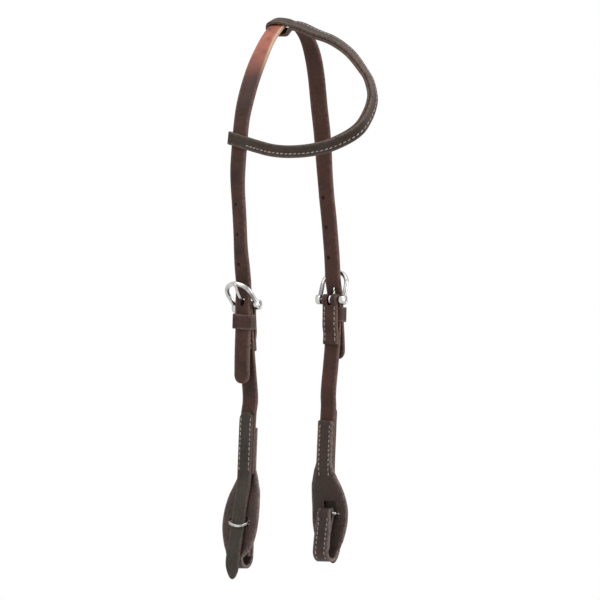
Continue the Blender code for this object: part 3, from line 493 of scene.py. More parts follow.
def seamRows(strap, seam, asides, face=1):
    return [(strap, *seam, aside, face) for aside in asides]


def twistAt(side, depth):
    return math.radians(hanging["twist"]) * tableValue(side["twistTable"], depth / hanging["drop"])


def hungRows(side, path, extra):
    # length, (out, depth), place and way along at each row of a path hung on one side
    line = Line([hang(side, *p) for p in path.points])
    for length in path.rows(extra):
        spot = path.at(length)
        ahead = line.along(np.interp(length, path.lengths, line.lengths))
        yield length, spot, hang(side, *spot), Vector(ahead)


def cheekStrap(side, path, halfAt, thick, extra, grainSign):
    rows = [(length, place, Vector((1, 0, 0)) - ahead * ahead.x, halfAt(length, spot))
            for length, spot, place, ahead in hungRows(side, path, extra)]
    return Strap(*zip(*rows), thick, grainSign)


crownStrap = {
    "tip": 0.009, "ramp": 0.022, "tailSettle": 0.050, "tailKick": 0.00235,
    "rampTable": ((1, 0.29), (0.864, 0.32), (0.682, 0.4), (0.364, 0.69), (0, 1)),
    "tailTable": ((0.14, 0), (0.28, 0.021), (0.42, 0.149), (0.68, 0.617), (1, 0.915)),
    "holeRadius": 0.0015, "holeSkew": 24, "holePitch": 0.028, "holeBack": 0.002, "holes": 3,
}


def billetKnots(side):
    c, setIn = crownStrap, hanging["barSetIn"]
    knots = [(barOut + setIn + (billetSeat - setIn) * share, barDepth - c["ramp"] * up)
             for up, share in c["rampTable"]]
    knots += [(barOut + billetSeat + c["tailKick"] * share, barDepth + c["tailSettle"] * down)
              for down, share in c["tailTable"]]
    return knots + [(barOut + billetSeat + c["tailKick"], barDepth + side["tail"])]


def crownPath(side):
    bend = hanging["spread"] - hanging["flat"] / 2
    points = [(0.0, 0.0), (hanging["flat"] / 4, 0.0)]
    points += [(hanging["flat"] / 2 + bend * math.sin(math.radians(a)),
                hanging["drop"] * (1 - math.cos(math.radians(a)))) for a in np.linspace(0, 90, 181)]
    lower = throughKnots([(hanging["spread"], hanging["drop"]),
                          (hanging["spread"] + hanging["bow"], (hanging["drop"] + barDepth) / 2)]
                         + billetKnots(side), 24)
    return Line(points + lower[1:])


buckle = {
    "wire": 0.0022, "ease": 0.00275, "rise": 0.0275, "heel": 0.002, "boss": 0.0047, "bossLength": 0.005,
    "tongue": 0.0014, "tongueEase": 0.0006, "coilEase": 0.0002, "pastBow": 0.0022, "coilTurn": 262,
    "tongueTable": ((0.06, 0.15), (0.23, 0.28), (0.5, 0.44), (0.74, 0.65), (0.9, 0.83), (1, 1)),
    "swing": 11, "bowStep": 0.0009, "bossSides": 40,
    "bossProfile": ((0.5, 0.25), (0.56, 0.9), (0.66, 1.02), (0.86, 1), (0.96, 0.9), (1, 0.7), (1, -0.7),
                    (0.96, -0.9), (0.86, -1), (0.7, -1)),
}


def turned(name, profile, radius, half, place, sides):
    # a piece turned about X from shares of its radius and half length
    bm = bmesh.new()
    skinRings(bm, [circleOf(bm, Vector((half * along, 0, 0)), Vector((0, radius * wide, 0)),
                            Vector((0, 0, radius * wide)), sides) for wide, along in profile])
    piece = solidPiece(name, bm)
    piece.location = place
    return piece


def tongueLine(side):
    b = buckle
    tilt = math.radians(side["tilt"])
    coil = hanging["barRadius"] + b["coilEase"] + b["tongue"]
    rest = b["wire"] + gap + b["tongue"]
    seat = (b["rise"] * math.sin(tilt) + rest * math.cos(tilt),
            b["rise"] * math.cos(tilt) - rest * math.sin(tilt))
    past = (seat[0] + b["pastBow"] * math.sin(tilt), seat[1] + b["pastBow"] * math.cos(tilt))
    turn = arcOf((0, 0), coil, -b["coilTurn"], 0, 40)
    rise = [turn[-1]] + [(coil + (seat[0] - coil) * out, seat[1] * up) for out, up in b["tongueTable"]]
    return turn[:-1], throughKnots(rise + [past], 10)


def crossingOf(first, second):
    # where two lines of points cross, and which way each runs there
    for a0, a1 in zip(first[:-1], first[1:]):
        for b0, b1 in zip(second[:-1], second[1:]):
            a0, a1, b0, b1 = (np.array(p, dtype=float) for p in (a0, a1, b0, b1))
            da, db = a1 - a0, b1 - b0
            area = da[0] * db[1] - da[1] * db[0]
            if area == 0:
                continue
            t = ((b0 - a0)[0] * db[1] - (b0 - a0)[1] * db[0]) / area
            s = ((b0 - a0)[0] * da[1] - (b0 - a0)[1] * da[0]) / area
            if 0 <= t <= 1 and 0 <= s <= 1:
                return a0 + da * t, da / np.linalg.norm(da), db / np.linalg.norm(db)


def tongueSlot(side):
    billet = [(out - barOut, barDepth - depth) for out, depth in throughKnots(billetKnots(side))]
    meet, tongueWay, strapWay = crossingOf(tongueLine(side)[1], billet)
    slant = math.acos(min(1, abs(float(tongueWay @ strapWay))))
    swing = math.radians(buckle["swing"]) * np.linalg.norm(meet) / math.sin(slant)
    width = 2 * (buckle["tongue"] + buckle["tongueEase"])
    length = width / math.sin(slant) + leather["strap"] / math.tan(slant) + swing
    down = strapWay if strapWay[1] < 0 else -strapWay
    centre = meet + down * swing / 2
    place = hang(side, barOut + centre[0], barDepth - centre[1])
    angle = side["sign"] * math.atan2(-strapWay[0] * np.sign(strapWay[1]), abs(strapWay[1]))
    return flaredPin("slotPunch" + side["name"], width / 2, leather["strap"], place, (angle, 0, 0),
                     length - width, pin["slotFlare"])


def makeCrown():
    c, halves = crownStrap, []
    for side in (near, far):
        path, rows = crownPath(side), []
        extra = tipLengths(path.total, c["tip"]) + [hanging["flat"] / 2]
        for length, spot, place, ahead in hungRows(side, path, extra):
            turn = twistAt(side, spot[1])
            across = Vector((math.cos(turn), math.sin(turn), 0))
            rows.append((side["sign"] * length, place, across - ahead * ahead.dot(across),
                         halfWidth * roundTip(path.total - length, c["tip"])))
        halves.append(rows)
    marks, places, acrosses, wides = zip(*(halves[0][::-1] + halves[1][1:]))
    strap = Strap([m - marks[0] for m in marks], places, acrosses, wides, leather["strap"], -1)
    crown = strapMesh("crownStrap", strap, [creaseLine()])
    pins = []
    for side in (near, far):
        spots = crownPath(side).points
        for k in range(c["holes"]):
            depth = barDepth - c["ramp"] / 2 - c["holePitch"] * (k + 1)
            spot = hang(side, np.interp(depth, spots[:, 1], spots[:, 0]), depth, -c["holeBack"])
            turn = twistAt(side, depth) - math.radians(c["holeSkew"])
            pins.append(flaredPin("punch{}{}".format(side["name"], k), c["holeRadius"], leather["strap"],
                                  spot, (0, 0, turn), 0, pin["flare"]))
        pins.append(tongueSlot(side))
    return punch(crown, pins)


cheek = {
    "inset": 0.00945, "leg": 0.042,
    "table": ((0, 0), (0.0446, 0.016), (0.0892, 0.048), (0.134, 0.09), (0.191, 0.175),
              (0.2675, 0.312), (0.395, 0.619), (0.567, 1), (0.643, 0.831), (0.88, 0.831), (1, 0.831)),
    "sewAside": 0.0054, "innerSeam": (0.0365, 0.0025), "outerSeam": (0.0025, 0.002), "notchCorner": 0.46,
}
keeper = {
    "top": 0.007, "height": 0.014, "sideEase": 0.0005, "frontEase": 0.0006, "corner": 0.0022, "tilt": 2.4,
    "rollShare": 0.35, "step": 0.0015, "creaseAway": 0.0017, "creaseDepth": 0.00013, "edgeRound": 0.0007,
}
smallWander = 0.00005
legSplit = leather["strap"] + leather["keeper"] + 2 * gap


def legOut(down):
    return barOut + foldRadius - cheek["inset"] * tableValue(cheek["table"], down / hanging["cheekLength"])


def legGap(down):
    # the two legs stand apart round the bar, less where the keeper passes between them, and then touch
    k, closed = keeper, leather["strap"] + gap
    return tableValue(((0, 2 * foldRadius), (k["top"] * 0.8, legSplit),
                       (k["top"] + k["height"] * 1.15, legSplit), (cheek["leg"] * 0.8, closed),
                       (cheek["leg"], closed)), down)


def makeCheek(side):
    length, leg = hanging["cheekLength"], cheek["leg"]
    outer = [(legOut(down), barDepth + down) for down in np.linspace(length, 0, 260)[:-1]]
    fold = [(barOut + x, barDepth - y) for x, y in arcOf((0, 0), foldRadius, 0, 180, 41)]
    inner = [(legOut(down) - legGap(down), barDepth + down) for down in np.linspace(0, leg, 90)[1:]]
    path = Line(outer + fold + inner)
    outerLength = Line(outer).total
    strap = cheekStrap(side, path, lambda at, spot: halfWidth * squareTip(path.total - at), leather["strap"],
                       tipLengths(path.total, cutEnd["square"]) + endRows(0, 1), side["sign"])
    # the same two seams seen on the inner leg and, below the keeper, on the outer one
    fromEnd, toEnd = cheek["innerSeam"]
    low, high = cheek["outerSeam"]
    innerSeam = (path.total - fromEnd, path.total - toEnd)
    outerSeam = (outerLength - leg + low, outerLength - keeper["top"] - keeper["height"] - high)
    asides = (-cheek["sewAside"], cheek["sewAside"])
    grooves = seamGrooves(halfWidth, innerSeam, asides) + seamGrooves(halfWidth, outerSeam, asides)
    piece = strapMesh(side["name"] + "CheekStrap", strap, [creaseLine()] + grooves)
    coil = hanging["barRadius"] + buckle["coilEase"] + 2 * buckle["tongue"] + buckle["tongueEase"]
    top = foldRadius + leather["strap"]
    wide = 2 * (buckle["tongue"] + buckle["tongueEase"])
    notch = boxPunch("foldPunch" + side["name"], (wide, 2 * top, coil + top), wide * cheek["notchCorner"],
                     hang(side, barOut, barDepth + (coil - top) / 2), lowOnly=True)
    stitches = seamRows(strap, innerSeam, asides) + seamRows(strap, outerSeam, asides)
    return punch(piece, [notch]), sew(side["name"] + "CheekThread", stitches)


def makeKeeper(side):
    k = keeper
    middle = k["top"] + k["height"] / 2
    back = legOut(middle) - (leather["strap"] + leather["keeper"]) / 2 - gap
    front = (barOut + billetSeat + crownStrap["tailKick"] * crownStrap["tailTable"][2][1]
             + (leather["strap"] + leather["keeper"]) / 2 + k["frontEase"])
    half = halfWidth + k["sideEase"] + leather["keeper"] / 2
    origin = hang(side, (back + front) / 2, barDepth + middle)
    deep = (front - back) / 2
    points = roundedLoop(half, -deep, deep, k["corner"], k["corner"], k["step"], 9)
    tilt = math.radians(k["tilt"]) * side["sign"]
    up = Vector((0, math.sin(tilt), math.cos(tilt)))
    out = Vector((0, side["sign"] * math.cos(tilt), -side["sign"] * math.sin(tilt)))
    roll = math.radians(side["play"] * k["rollShare"])       # it sits askew as the near buckle does
    aside = Vector((math.cos(roll), 0, 0)) - up * math.sin(roll)
    up = up * math.cos(roll) + Vector((math.sin(roll), 0, 0))
    places = [origin + aside * x + out * y for x, y in points]
    count = len(places)
    strap = Strap(np.arange(count) * k["step"], places, [up] * count, [k["height"] / 2] * count,
                  leather["keeper"], side["sign"], closed=True)
    # the grain faces away from the middle of the loop
    if (Vector(strap.places[0]) - origin).dot(Vector(strap.normal[0])) < 0:
        strap.normal *= -1
    return strapMesh(side["name"] + "Keeper", strap, [creaseLine(k["creaseAway"], k["creaseDepth"])],
                     k["edgeRound"], smallWander)


def makeBuckle(side):
    b, name = buckle, side["name"]
    origin = hang(side, barOut, barDepth)
    half = halfWidth + b["wire"] + b["ease"]
    straight = b["rise"] - half
    bow = [(-half, -b["heel"]), (-half, straight / 2)]
    bow += [(x, straight + y) for x, y in arcOf((0, 0), half, 180, 0, 61)]
    bow += [(half, straight / 2), (half, -b["heel"])]
    # the frame hangs a little askew on its bar
    turn = Matrix.Rotation(-side["sign"] * math.radians(side["tilt"]), 3, 'X')
    turn = turn @ Matrix.Rotation(-math.radians(side["play"]), 3, 'Y')
    spots = [origin + turn @ Vector((x, 0, w)) for x, w in dense(bow, b["bowStep"])]
    hoop = tube(name + "BuckleFrame", spots, b["wire"], sides=wireRun["thickSides"])
    rest = [turned(name + "BuckleBoss" + str(end), b["bossProfile"], b["boss"], end * b["bossLength"] / 2,
                   origin + turn @ Vector((end * half, 0, 0)), b["bossSides"]) for end in (-1, 1)]
    rest.append(tube(name + "BuckleBar", [origin + Vector((x, 0, 0)) for x in np.linspace(-half, half, 12)],
                     hanging["barRadius"]))
    coil, rise = tongueLine(side)
    spots = [origin + Vector((0, side["sign"] * u, v)) for u, v in dense(coil + rise, wireRun["step"])]
    return hoop, rest, tube(name + "BuckleTongue", spots, b["tongue"])


bitStrap = {
    "lap": 0.044, "bulge": 0.0135, "loopRadius": 0.0092, "width": 0.0384, "loopOut": 0.637,
    "runTable": ((0, 0), (0.138, 0.2), (0.3, 0.6), (0.45, 0.86), (0.577, 0.945), (0.715, 1), (0.819, 1.12)),
    "backTable": ((0.8, -0.02), (0.68, 0.04), (0.58, 0.1)), "turnIn": 0.2,
    "hemTable": ((0, 0), (0.6, 0), (1, 1)),
    "teardrop": ((-0.069, 0), (0.023, 0.205), (0.104, 0.429), (0.196, 0.696), (0.288, 0.857),
                 (0.392, 0.964), (0.484, 1), (0.577, 0.973), (0.681, 0.839), (0.784, 0.58),
                 (0.854, 0.268), (0.911, 0)),
    "rowStep": 0.002, "sewAside": 0.0046, "lapSeam": (0.0035, 0.008), "backSeam": (0.3, 0.004),
}
lockRing = {
    "wire": 0.0014, "ease": 0.0004, "corner": 0.0019, "bowCorner": 0.0035, "sag": 0.0022, "lean": 0.11,
    "bar": (0.49, 0.355), "outer": 0.53, "hemEase": 0.0009,
    "slot": 0.51, "slotEase": 0.0005, "slotHeight": 0.008, "slotBite": 0.002,
    "window": (0.348, 0.5), "windowWidth": 0.013, "windowAside": 0.0012, "windowBite": 0.003,
    "windowCorner": 0.0022,
}
lockTab = {
    "lap": 0.058, "width": 0.0145, "ease": 0.0006, "kick": 0.0055, "tip": 0.016,
    "rise": ((0, 0), (0.138, 0.15), (0.3, 0.56), (0.45, 0.89), (0.577, 1)),
    "kickTable": ((0.22, 0.365), (0.45, 0.79), (0.66, 0.97), (1, 1)),
    "sewAside": 0.0052, "seam": (0.0045, 0.003),
}
cheekOut = barOut + foldRadius - cheek["inset"] * cheek["table"][-1][1]
bitOut = cheekOut - (leather["strap"] + leather["bit"]) / 2 - gap
tabOut = cheekOut + (leather["strap"] + leather["tab"]) / 2 + gap
tabSeat = (leather["bit"] + leather["tab"]) / 2 + lockTab["ease"]
loopOut = bitOut + bitStrap["bulge"] * bitStrap["loopOut"]
loopDepth = hangDepth - bitStrap["loopRadius"]
ringHalf = lockTab["width"] / 2 + lockRing["ease"] + lockRing["wire"]
hemRadius = lockRing["wire"] + gap + leather["bit"] / 2
hemHalf = ringHalf - lockRing["wire"] - lockRing["hemEase"]


def bitRunOut(depth):
    rows = [(cheekEnd + bitReach * down, bitOut + bitStrap["bulge"] * out)
            for down, out in bitStrap["runTable"]]
    return tableValue(rows + [(loopDepth, loopOut + bitStrap["loopRadius"])], depth)


def ringPlaces():
    down, out = lockRing["bar"]
    inner = (bitOut + bitStrap["bulge"] * out, cheekEnd + bitReach * down)
    depth = cheekEnd + bitReach * lockRing["outer"]
    return inner, (bitRunOut(depth) + tabSeat + leather["tab"] / 2 + gap + lockRing["wire"], depth)


def besideLine(points, distance):
    moved = []
    for i, p in enumerate(points):
        a, b = np.array(points[max(i - 1, 0)]), np.array(points[min(i + 1, len(points) - 1)])
        way = (b - a) / np.linalg.norm(b - a)
        moved.append((p[0] + way[1] * distance, p[1] - way[0] * distance))
    return moved


def makeBitStrap(side):
    s, r = bitStrap, lockRing
    bar, _ = ringPlaces()
    run = [(bitRunOut(d), d) for d in np.linspace(cheekEnd - s["lap"], loopDepth, 300)]
    loop = [(loopOut + x, loopDepth - y) for x, y in arcOf((0, 0), s["loopRadius"], 0, -180, 61)]
    back = [(bitOut + s["bulge"] * out, cheekEnd + bitReach * down) for down, out in s["backTable"]]
    hemSide = (bar[0] - hemRadius, bar[1] + hemRadius / 2)
    backLine = throughKnots([loop[-1]] + back + [hemSide, (bar[0] - hemRadius, bar[1])], 20)
    hem = [(bar[0] + x, bar[1] - y) for x, y in arcOf((0, 0), hemRadius, 180, 0, 41)]
    lining = [p for p in reversed(besideLine(backLine, -leather["bit"] - gap))
              if bar[1] + bitReach * s["turnIn"] < p[1] < loopDepth]
    turnIn = throughKnots([hem[-1], (bar[0] + hemRadius, bar[1] + hemRadius / 2)]
                          + lining[::max(1, len(lining) // 4)], 20)
    path = Line(run + loop[1:] + backLine[1:] + hem[1:] + turnIn[1:])
    runLength = Line(run).total
    loopLength = runLength + math.pi * s["loopRadius"]
    hemStart = loopLength + Line(backLine).total

    def half(length, spot):
        if length < cutEnd["square"]:
            return halfWidth * squareTip(length)
        if length < runLength:
            fill = tableValue(s["teardrop"], (spot[1] - cheekEnd) / bitReach)
            return halfWidth + (s["width"] / 2 - halfWidth) * fill
        if length < hemStart:
            share = (length - loopLength) / (hemStart - loopLength)
            return halfWidth + (hemHalf - halfWidth) * tableValue(s["hemTable"], share)
        return hemHalf * squareTip(path.total - length)
    extra = tipLengths(path.total, cutEnd["square"]) + tipLengths(path.total, cutEnd["square"], True)
    extra += list(np.arange(s["lap"], runLength, s["rowStep"]))
    strap = cheekStrap(side, path, half, leather["bit"], extra, -side["sign"])
    lapSeam = (s["lapSeam"][0], s["lap"] + s["lapSeam"][1])
    backSeam = (loopLength - math.pi * s["loopRadius"] * s["backSeam"][0], hemStart - s["backSeam"][1])
    asides, wide = (-s["sewAside"], s["sewAside"]), strap.halves.max()
    piece = strapMesh(side["name"] + "BitStrap", strap,
                      [creaseLine()] + seamGrooves(wide, backSeam, asides, halfWidth / wide))
    depth = cheekEnd + bitReach * r["slot"]
    slotSize = (2 * (ringHalf + r["wire"] + r["slotEase"]), leather["bit"] + r["slotBite"], r["slotHeight"])
    slot = boxPunch("ringPunch" + side["name"], slotSize, r["slotHeight"] / 3,
                    hang(side, bitRunOut(depth), depth))
    top, low = (cheekEnd + bitReach * share for share in r["window"])
    middle = (top + low) / 2
    window = boxPunch("windowPunch" + side["name"],
                      (r["windowWidth"], leather["bit"] + r["windowBite"], low - top), r["windowCorner"],
                      hang(side, bitRunOut(middle), middle, side["sign"] * r["windowAside"]))
    stitches = seamRows(strap, lapSeam, (-lockTab["sewAside"], lockTab["sewAside"]), -1)
    stitches += seamRows(strap, backSeam, asides)
    return punch(piece, [slot, window]), sew(side["name"] + "BitThread", stitches)


def makeTab(side):
    t = lockTab
    ringDepth = cheekEnd + bitReach * t["rise"][-1][0]
    level = bitRunOut(ringDepth) + tabSeat
    table = [(cheekEnd + bitReach * down, tabOut + (level - tabOut) * rise) for down, rise in t["rise"]]
    beyond = cheekEnd + side["tab"] - ringDepth
    table += [(ringDepth + beyond * down, level + t["kick"] * kick) for down, kick in t["kickTable"]]
    depths = np.linspace(cheekEnd - t["lap"], cheekEnd + side["tab"], 400)
    path = Line([(tableValue(table, d), d) for d in depths])
    wide = t["width"] / 2

    def half(length, spot):
        return wide * min(roundTip(length, wide), pointTip(path.total - length, t["tip"]))
    extra = tipLengths(path.total, t["tip"]) + tipLengths(path.total, wide, True)
    strap = cheekStrap(side, path, half, leather["tab"], extra, -side["sign"])
    seam = (t["seam"][0], t["lap"] - t["seam"][1])
    asides = (-t["sewAside"], t["sewAside"])
    piece = strapMesh(side["name"] + "LockingTab", strap, [creaseLine()] + seamGrooves(wide, seam, asides))
    return piece, sew(side["name"] + "TabThread", seamRows(strap, seam, asides))


def makeRing(side):
    inner, outer = ringPlaces()
    origin = hang(side, *inner)
    origin.x = hang(side, 0, cheekEnd + bitReach * lockRing["slot"]).x
    tip = Vector((0, side["sign"] * (outer[0] - inner[0]), inner[1] - outer[1]))
    way, long = tip.normalized(), tip.length
    r, spots = lockRing, []
    for x, y in roundedLoop(ringHalf, 0, long, r["corner"], r["bowCorner"], wireRun["step"], 11):
        down = r["sag"] * (1 - (x / ringHalf) ** 2) + r["lean"] * x
        spots.append(origin + Vector((x, 0, -down * y / long)) + way * y)
    return tube(side["name"] + "LockRing", spots, r["wire"], closed=True)


earLoop = {
    "width": 0.012, "reach": 0.1308, "topOut": 0.014, "lowDepth": 0.107,
    "topClear": 0.0003, "topUnder": 0.0034, "underTilt": 17,
    "lowClear": 0.0006, "lowUnder": 0.0004, "backClear": 0.0008,
    "bend": 0.0023, "close": 0.0122, "turnBack": 0.026, "butt": 0.0005, "plyGap": 0.0004, "slant": 14,
    "wrap": ((0.002, -0.0065), (-0.0065, -0.0061), (-0.0102, -0.0042), (-0.0113, -0.0011),
             (-0.0096, 0.0025), (-0.005, 0.0043), (0, 0.0045), (0.005, 0.004)),
    "arc": ((0.159, 0.007), (0.33, 0.07), (0.483, 0.122), (0.666, 0.228), (0.838, 0.384),
            (0.903, 0.454), (0.983, 0.597), (0.998, 0.665), (1, 0.728), (0.992, 0.794),
            (0.973, 0.861), (0.933, 0.916), (0.864, 0.97), (0.756, 1.029), (0.636, 1.064),
            (0.523, 1.08), (0.4, 1.084), (0.28, 1.072), (0.185, 1.05)),
    "rowStep": 0.0022, "rowApart": 0.0012, "aheadReach": 0.0015,
    "sewAside": 0.0021, "bandSeam": (0.006, 0.001), "liningGroove": 0.002, "liningSeam": 0.003,
}


def crownFrame(side, axis, target):
    # centre, way down the strap and way out of the crown at an out (0) or a depth (1)
    spots = crownPath(side).points
    first = next(i for i, spot in enumerate(spots) if spot[axis] >= target)
    before, after = spots[first - 1], spots[first]
    spot = before + (after - before) * (target - before[axis]) / (after[axis] - before[axis])
    ahead = hang(side, *(spot + (after - before))) - hang(side, *(spot - (after - before)))
    ahead.x = 0
    ahead.normalize()
    return hang(side, *spot), ahead, Vector((0, -side["sign"] * ahead.z, side["sign"] * ahead.y))


def makeEar():
    e = earLoop
    top, topWay, topNormal = crownFrame(near, 0, e["topOut"])
    low, lowWay, lowNormal = crownFrame(near, 1, e["lowDepth"])
    chord = low - top
    chord.x = 0
    slant = math.radians(e["slant"])
    forward = (Vector((math.cos(slant), 0, 0)) + lowWay * math.sin(slant)).normalized()
    edge = halfWidth + e["backClear"]
    level = edge + (e["close"] - edge) / 4
    knots = [top + Vector((x, 0, 0)) for x in (-edge, 0, edge, level)]
    knots += [top + Vector((e["reach"] * x, 0, 0)) + chord * share for x, share in e["arc"]]
    knots += [low + forward * x for x in (level, edge, 0, -edge)]
    line = Line(throughKnots(knots, 24))
    half, close = e["width"] / 2, e["close"] - halfWidth

    def lengthsPast(x):
        return line.lengths[line.points[:, 0] >= x]
    start, stop = lengthsPast(edge)[0], lengthsPast((low + forward * edge).x)[-1]
    turnTop, turnLow = lengthsPast(e["turnBack"])[[0, -1]]
    angleTop, angleLow = math.atan2(-topWay.z, -topWay.y), math.atan2(lowWay.z, lowWay.y)
    layerOut = leather["ear"] / 2 + e["plyGap"] / 2
    on = (leather["strap"] + leather["ear"]) / 2
    topSeat, lowSeat = (on + e["topClear"], -on - e["topUnder"]), (on + e["lowClear"], -on - e["lowUnder"])

    def tilted(across, normal, share):
        # under the crown the band's far edge is drawn up against it
        turn = math.radians(e["underTilt"]) * share
        return across * math.cos(turn) + normal * math.sin(turn)

    def layer(lengths, which):
        # rows of the outer (0) or the inner (1) layer, from one wrap to the other
        rows = []
        meet = -layerOut if which else layerOut
        for length in lengths:
            place, ahead = Vector(line.at(length)), Vector(line.along(length, e["aheadReach"]))
            angle = angleTop + (angleLow - angleTop) * levelOut((length - start) / (stop - start))
            across = Vector((0, math.cos(angle), math.sin(angle)))
            across = (across - ahead * across.dot(ahead)).normalized()
            normal = ahead.cross(across).normalized()
            nearTop = 1 - levelOut((length - start) / close)
            nearLow = 1 - levelOut((stop - length) / close)
            apart = meet + (topSeat[which] - meet) * nearTop + (lowSeat[which] - meet) * nearLow
            rows.append((place + normal * apart, tilted(across, normal, which * nearTop), half))
        return rows

    def topWrap():
        # rounded, from the layer under the crown strap's far edge to the layer over it
        high, deep = topSeat
        points = throughKnots([(edge, deep), *e["wrap"], (edge, high)], 6)[1:-1]
        return [(top + Vector((x, 0, 0)) + topNormal * y,
                 tilted(-topWay, topNormal, levelOut((high - y) / (high - deep))), half) for x, y in points]

    def lowFold():
        # tight round the crown strap's back edge
        back = e["bend"] - halfWidth - e["backClear"] - leather["ear"] / 2
        points = arcOf((back, lowSeat[0] - e["bend"]), e["bend"], 90, 180, 15)
        points += arcOf((back, lowSeat[1] + e["bend"]), e["bend"], 180, 270, 15)
        return [(low + forward * (x / forward.x) + lowNormal * y, lowWay, half / forward.x)
                for x, y in points]

    def strapOf(rows, grainSign):
        places, acrosses, halves = zip(*rows)
        return Strap(Line(places).lengths, places, acrosses, halves, leather["ear"], grainSign)
    steps, apart = math.ceil((stop - start) / e["rowStep"]), e["rowApart"]
    whole = [start + (stop - start) * k / steps for k in range(steps + 1)]
    backTop = sorted([r for r in whole if r < turnTop - apart] + endRows(turnTop, -1))
    backLow = sorted([r for r in whole if r > turnLow + apart] + endRows(turnLow, 1))
    rows = layer(reversed(backTop), 1) + topWrap()
    firstOuter = len(rows)
    rows += layer(whole, 0) + lowFold() + layer(reversed(backLow), 1)
    band = strapOf(rows, 1)
    first, last = turnTop + e["butt"], turnLow - e["butt"]
    between = [r for r in whole if first + apart < r < last - apart]
    lining = strapOf(layer(sorted(between + endRows(first, 1) + endRows(last, -1)), 1), -1)
    # the seam runs through both layers, along the edge that ends up lowest
    asides, end = (e["sewAside"],), lining.lengths[-1]
    bandSeam = (band.lengths[firstOuter] + e["bandSeam"][0],
                band.lengths[firstOuter + len(whole) - 1] - e["bandSeam"][1])
    liningGroove = (e["liningGroove"], end - e["liningGroove"])
    liningSeam = (e["liningSeam"], end - e["liningSeam"])
    bandPiece, liningPiece = (
        strapMesh(name, strap, [creaseLine()] + seamGrooves(half, seam, asides), wander=smallWander)
        for name, strap, seam in (("earBand", band, bandSeam), ("earLining", lining, liningGroove)))
    stitches = seamRows(band, bandSeam, asides) + seamRows(lining, liningSeam, asides)
    return bandPiece, liningPiece, sew("earThread", stitches)


class Finish:
    # a material, its shader and the nodes that feed it

    def __init__(self, name):
        self.material = bpy.data.materials.new(name)
        self.material.use_nodes = True
        self.shader = self.material.node_tree.nodes["Principled BSDF"]
        self.where = self.node("ShaderNodeTexCoord").outputs["Object"]

    def feed(self, socket, value):
        # the value is another node's output, a number, a colour or a vector
        if hasattr(value, "is_linked"):
            self.material.node_tree.links.new(value, socket)
        elif isinstance(value, (int, float)):
            socket.default_value = value
        else:
            socket.default_value = (*value, 1)[:len(socket.default_value)]

    def give(self, name, value):
        self.feed(self.shader.inputs[name], value)

    def node(self, kind, **values):
        made = self.material.node_tree.nodes.new(kind)
        for key, value in values.items():
            if key in made.inputs:
                self.feed(made.inputs[key], value)
            else:
                setattr(made, key, value)
        return made

    def noise(self, scale, detail, rough, stretch=None):
        source = self.where
        if stretch:
            source = self.node("ShaderNodeMapping", Scale=stretch, Vector=source).outputs[0]
        return self.node("ShaderNodeTexNoise", Vector=source, Scale=scale, Detail=detail,
                         Roughness=rough).outputs["Fac"]

    def cells(self, scale, feature='F1'):
        return self.node("ShaderNodeTexVoronoi", feature=feature, Vector=self.where,
                         Scale=scale).outputs["Distance"]

    def ramp(self, source, *stops):
        # each stop is a place and a colour, or a number for a grey
        made = self.node("ShaderNodeValToRGB")
        elements = made.color_ramp.elements
        while len(elements) < len(stops):
            elements.new(0.5)
        for element, (at, colour) in zip(elements, stops):
            element.position = at
            element.color = (*colour, 1) if isinstance(colour, tuple) else (colour, colour, colour, 1)
        self.feed(made.inputs[0], source)
        return made.outputs[0]

    def mix(self, factor, one, two, blend='MIX'):
        made = self.node("ShaderNodeMix", data_type='RGBA', blend_type=blend)
        for k, value in ((0, factor), (6, one), (7, two)):
            self.feed(made.inputs[k], value)
        return made.outputs[2]

    def combine(self, operation, first, *others, clamp=False):
        for other in others:
            made = self.node("ShaderNodeMath", operation=operation, use_clamp=clamp)
            self.feed(made.inputs[0], first)
            self.feed(made.inputs[1], other)
            first = made.outputs[0]
        return first

    def times(self, *values):
        return self.combine('MULTIPLY', *values)

    def between(self, value, low, high):
        # 0 at low, 1 at high, smooth between
        made = self.node("ShaderNodeMapRange", interpolation_type='SMOOTHSTEP', Value=value)
        made.inputs["From Min"].default_value, made.inputs["From Max"].default_value = low, high
        return made.outputs["Result"]

    def bump(self, height, strength, distance):
        bumps = self.node("ShaderNodeBump", Strength=strength, Distance=distance, Height=height)
        self.give("Normal", bumps.outputs[0])


def paintTopHighlight(f, rim, colour, topHighlight):
    # painted highlight: the near side of the crown is painted a warm tan below the ear band, with a pale
    # cream highlight painted along its front edge
    parts = f.node("ShaderNodeSeparateXYZ", Vector=f.where).outputs
    side = f.between(parts["Y"], *topHighlight["near"])
    highlightZone = f.times(f.between(parts["Z"], *topHighlight["height"]), side)
    broken = f.between(f.noise(*topHighlight["patches"]), *topHighlight["patchShare"])
    colour = f.mix(f.times(highlightZone, broken, topHighlight["share"]), colour, topHighlight["tan"])
    front = f.times(rim, f.between(parts["X"], *topHighlight["front"]))
    edge = f.times(front, f.times(f.between(parts["Z"], *topHighlight["edgeHeight"]), side))
    return f.mix(f.times(edge, topHighlight["edgeShare"]), colour, topHighlight["edgeHighlight"])


hide = {
    "mottle": (340, 6, 0.68), "streak": (150, 4, 0.6, (1, 1, 0.16)), "pores": 1500, "wrinkle": 520,
    "mottleShare": 0.8, "streakShare": 0.6, "seamShare": 0.55, "cutShadeShare": 0.9, "poreShare": 0.7,
    "fleshRough": 0.22, "poreHeight": 0.45, "wrinkleHeight": 0.35, "mottleHeight": 0.9, "streakHeight": 0.5,
    "relief": 0.00022,
}


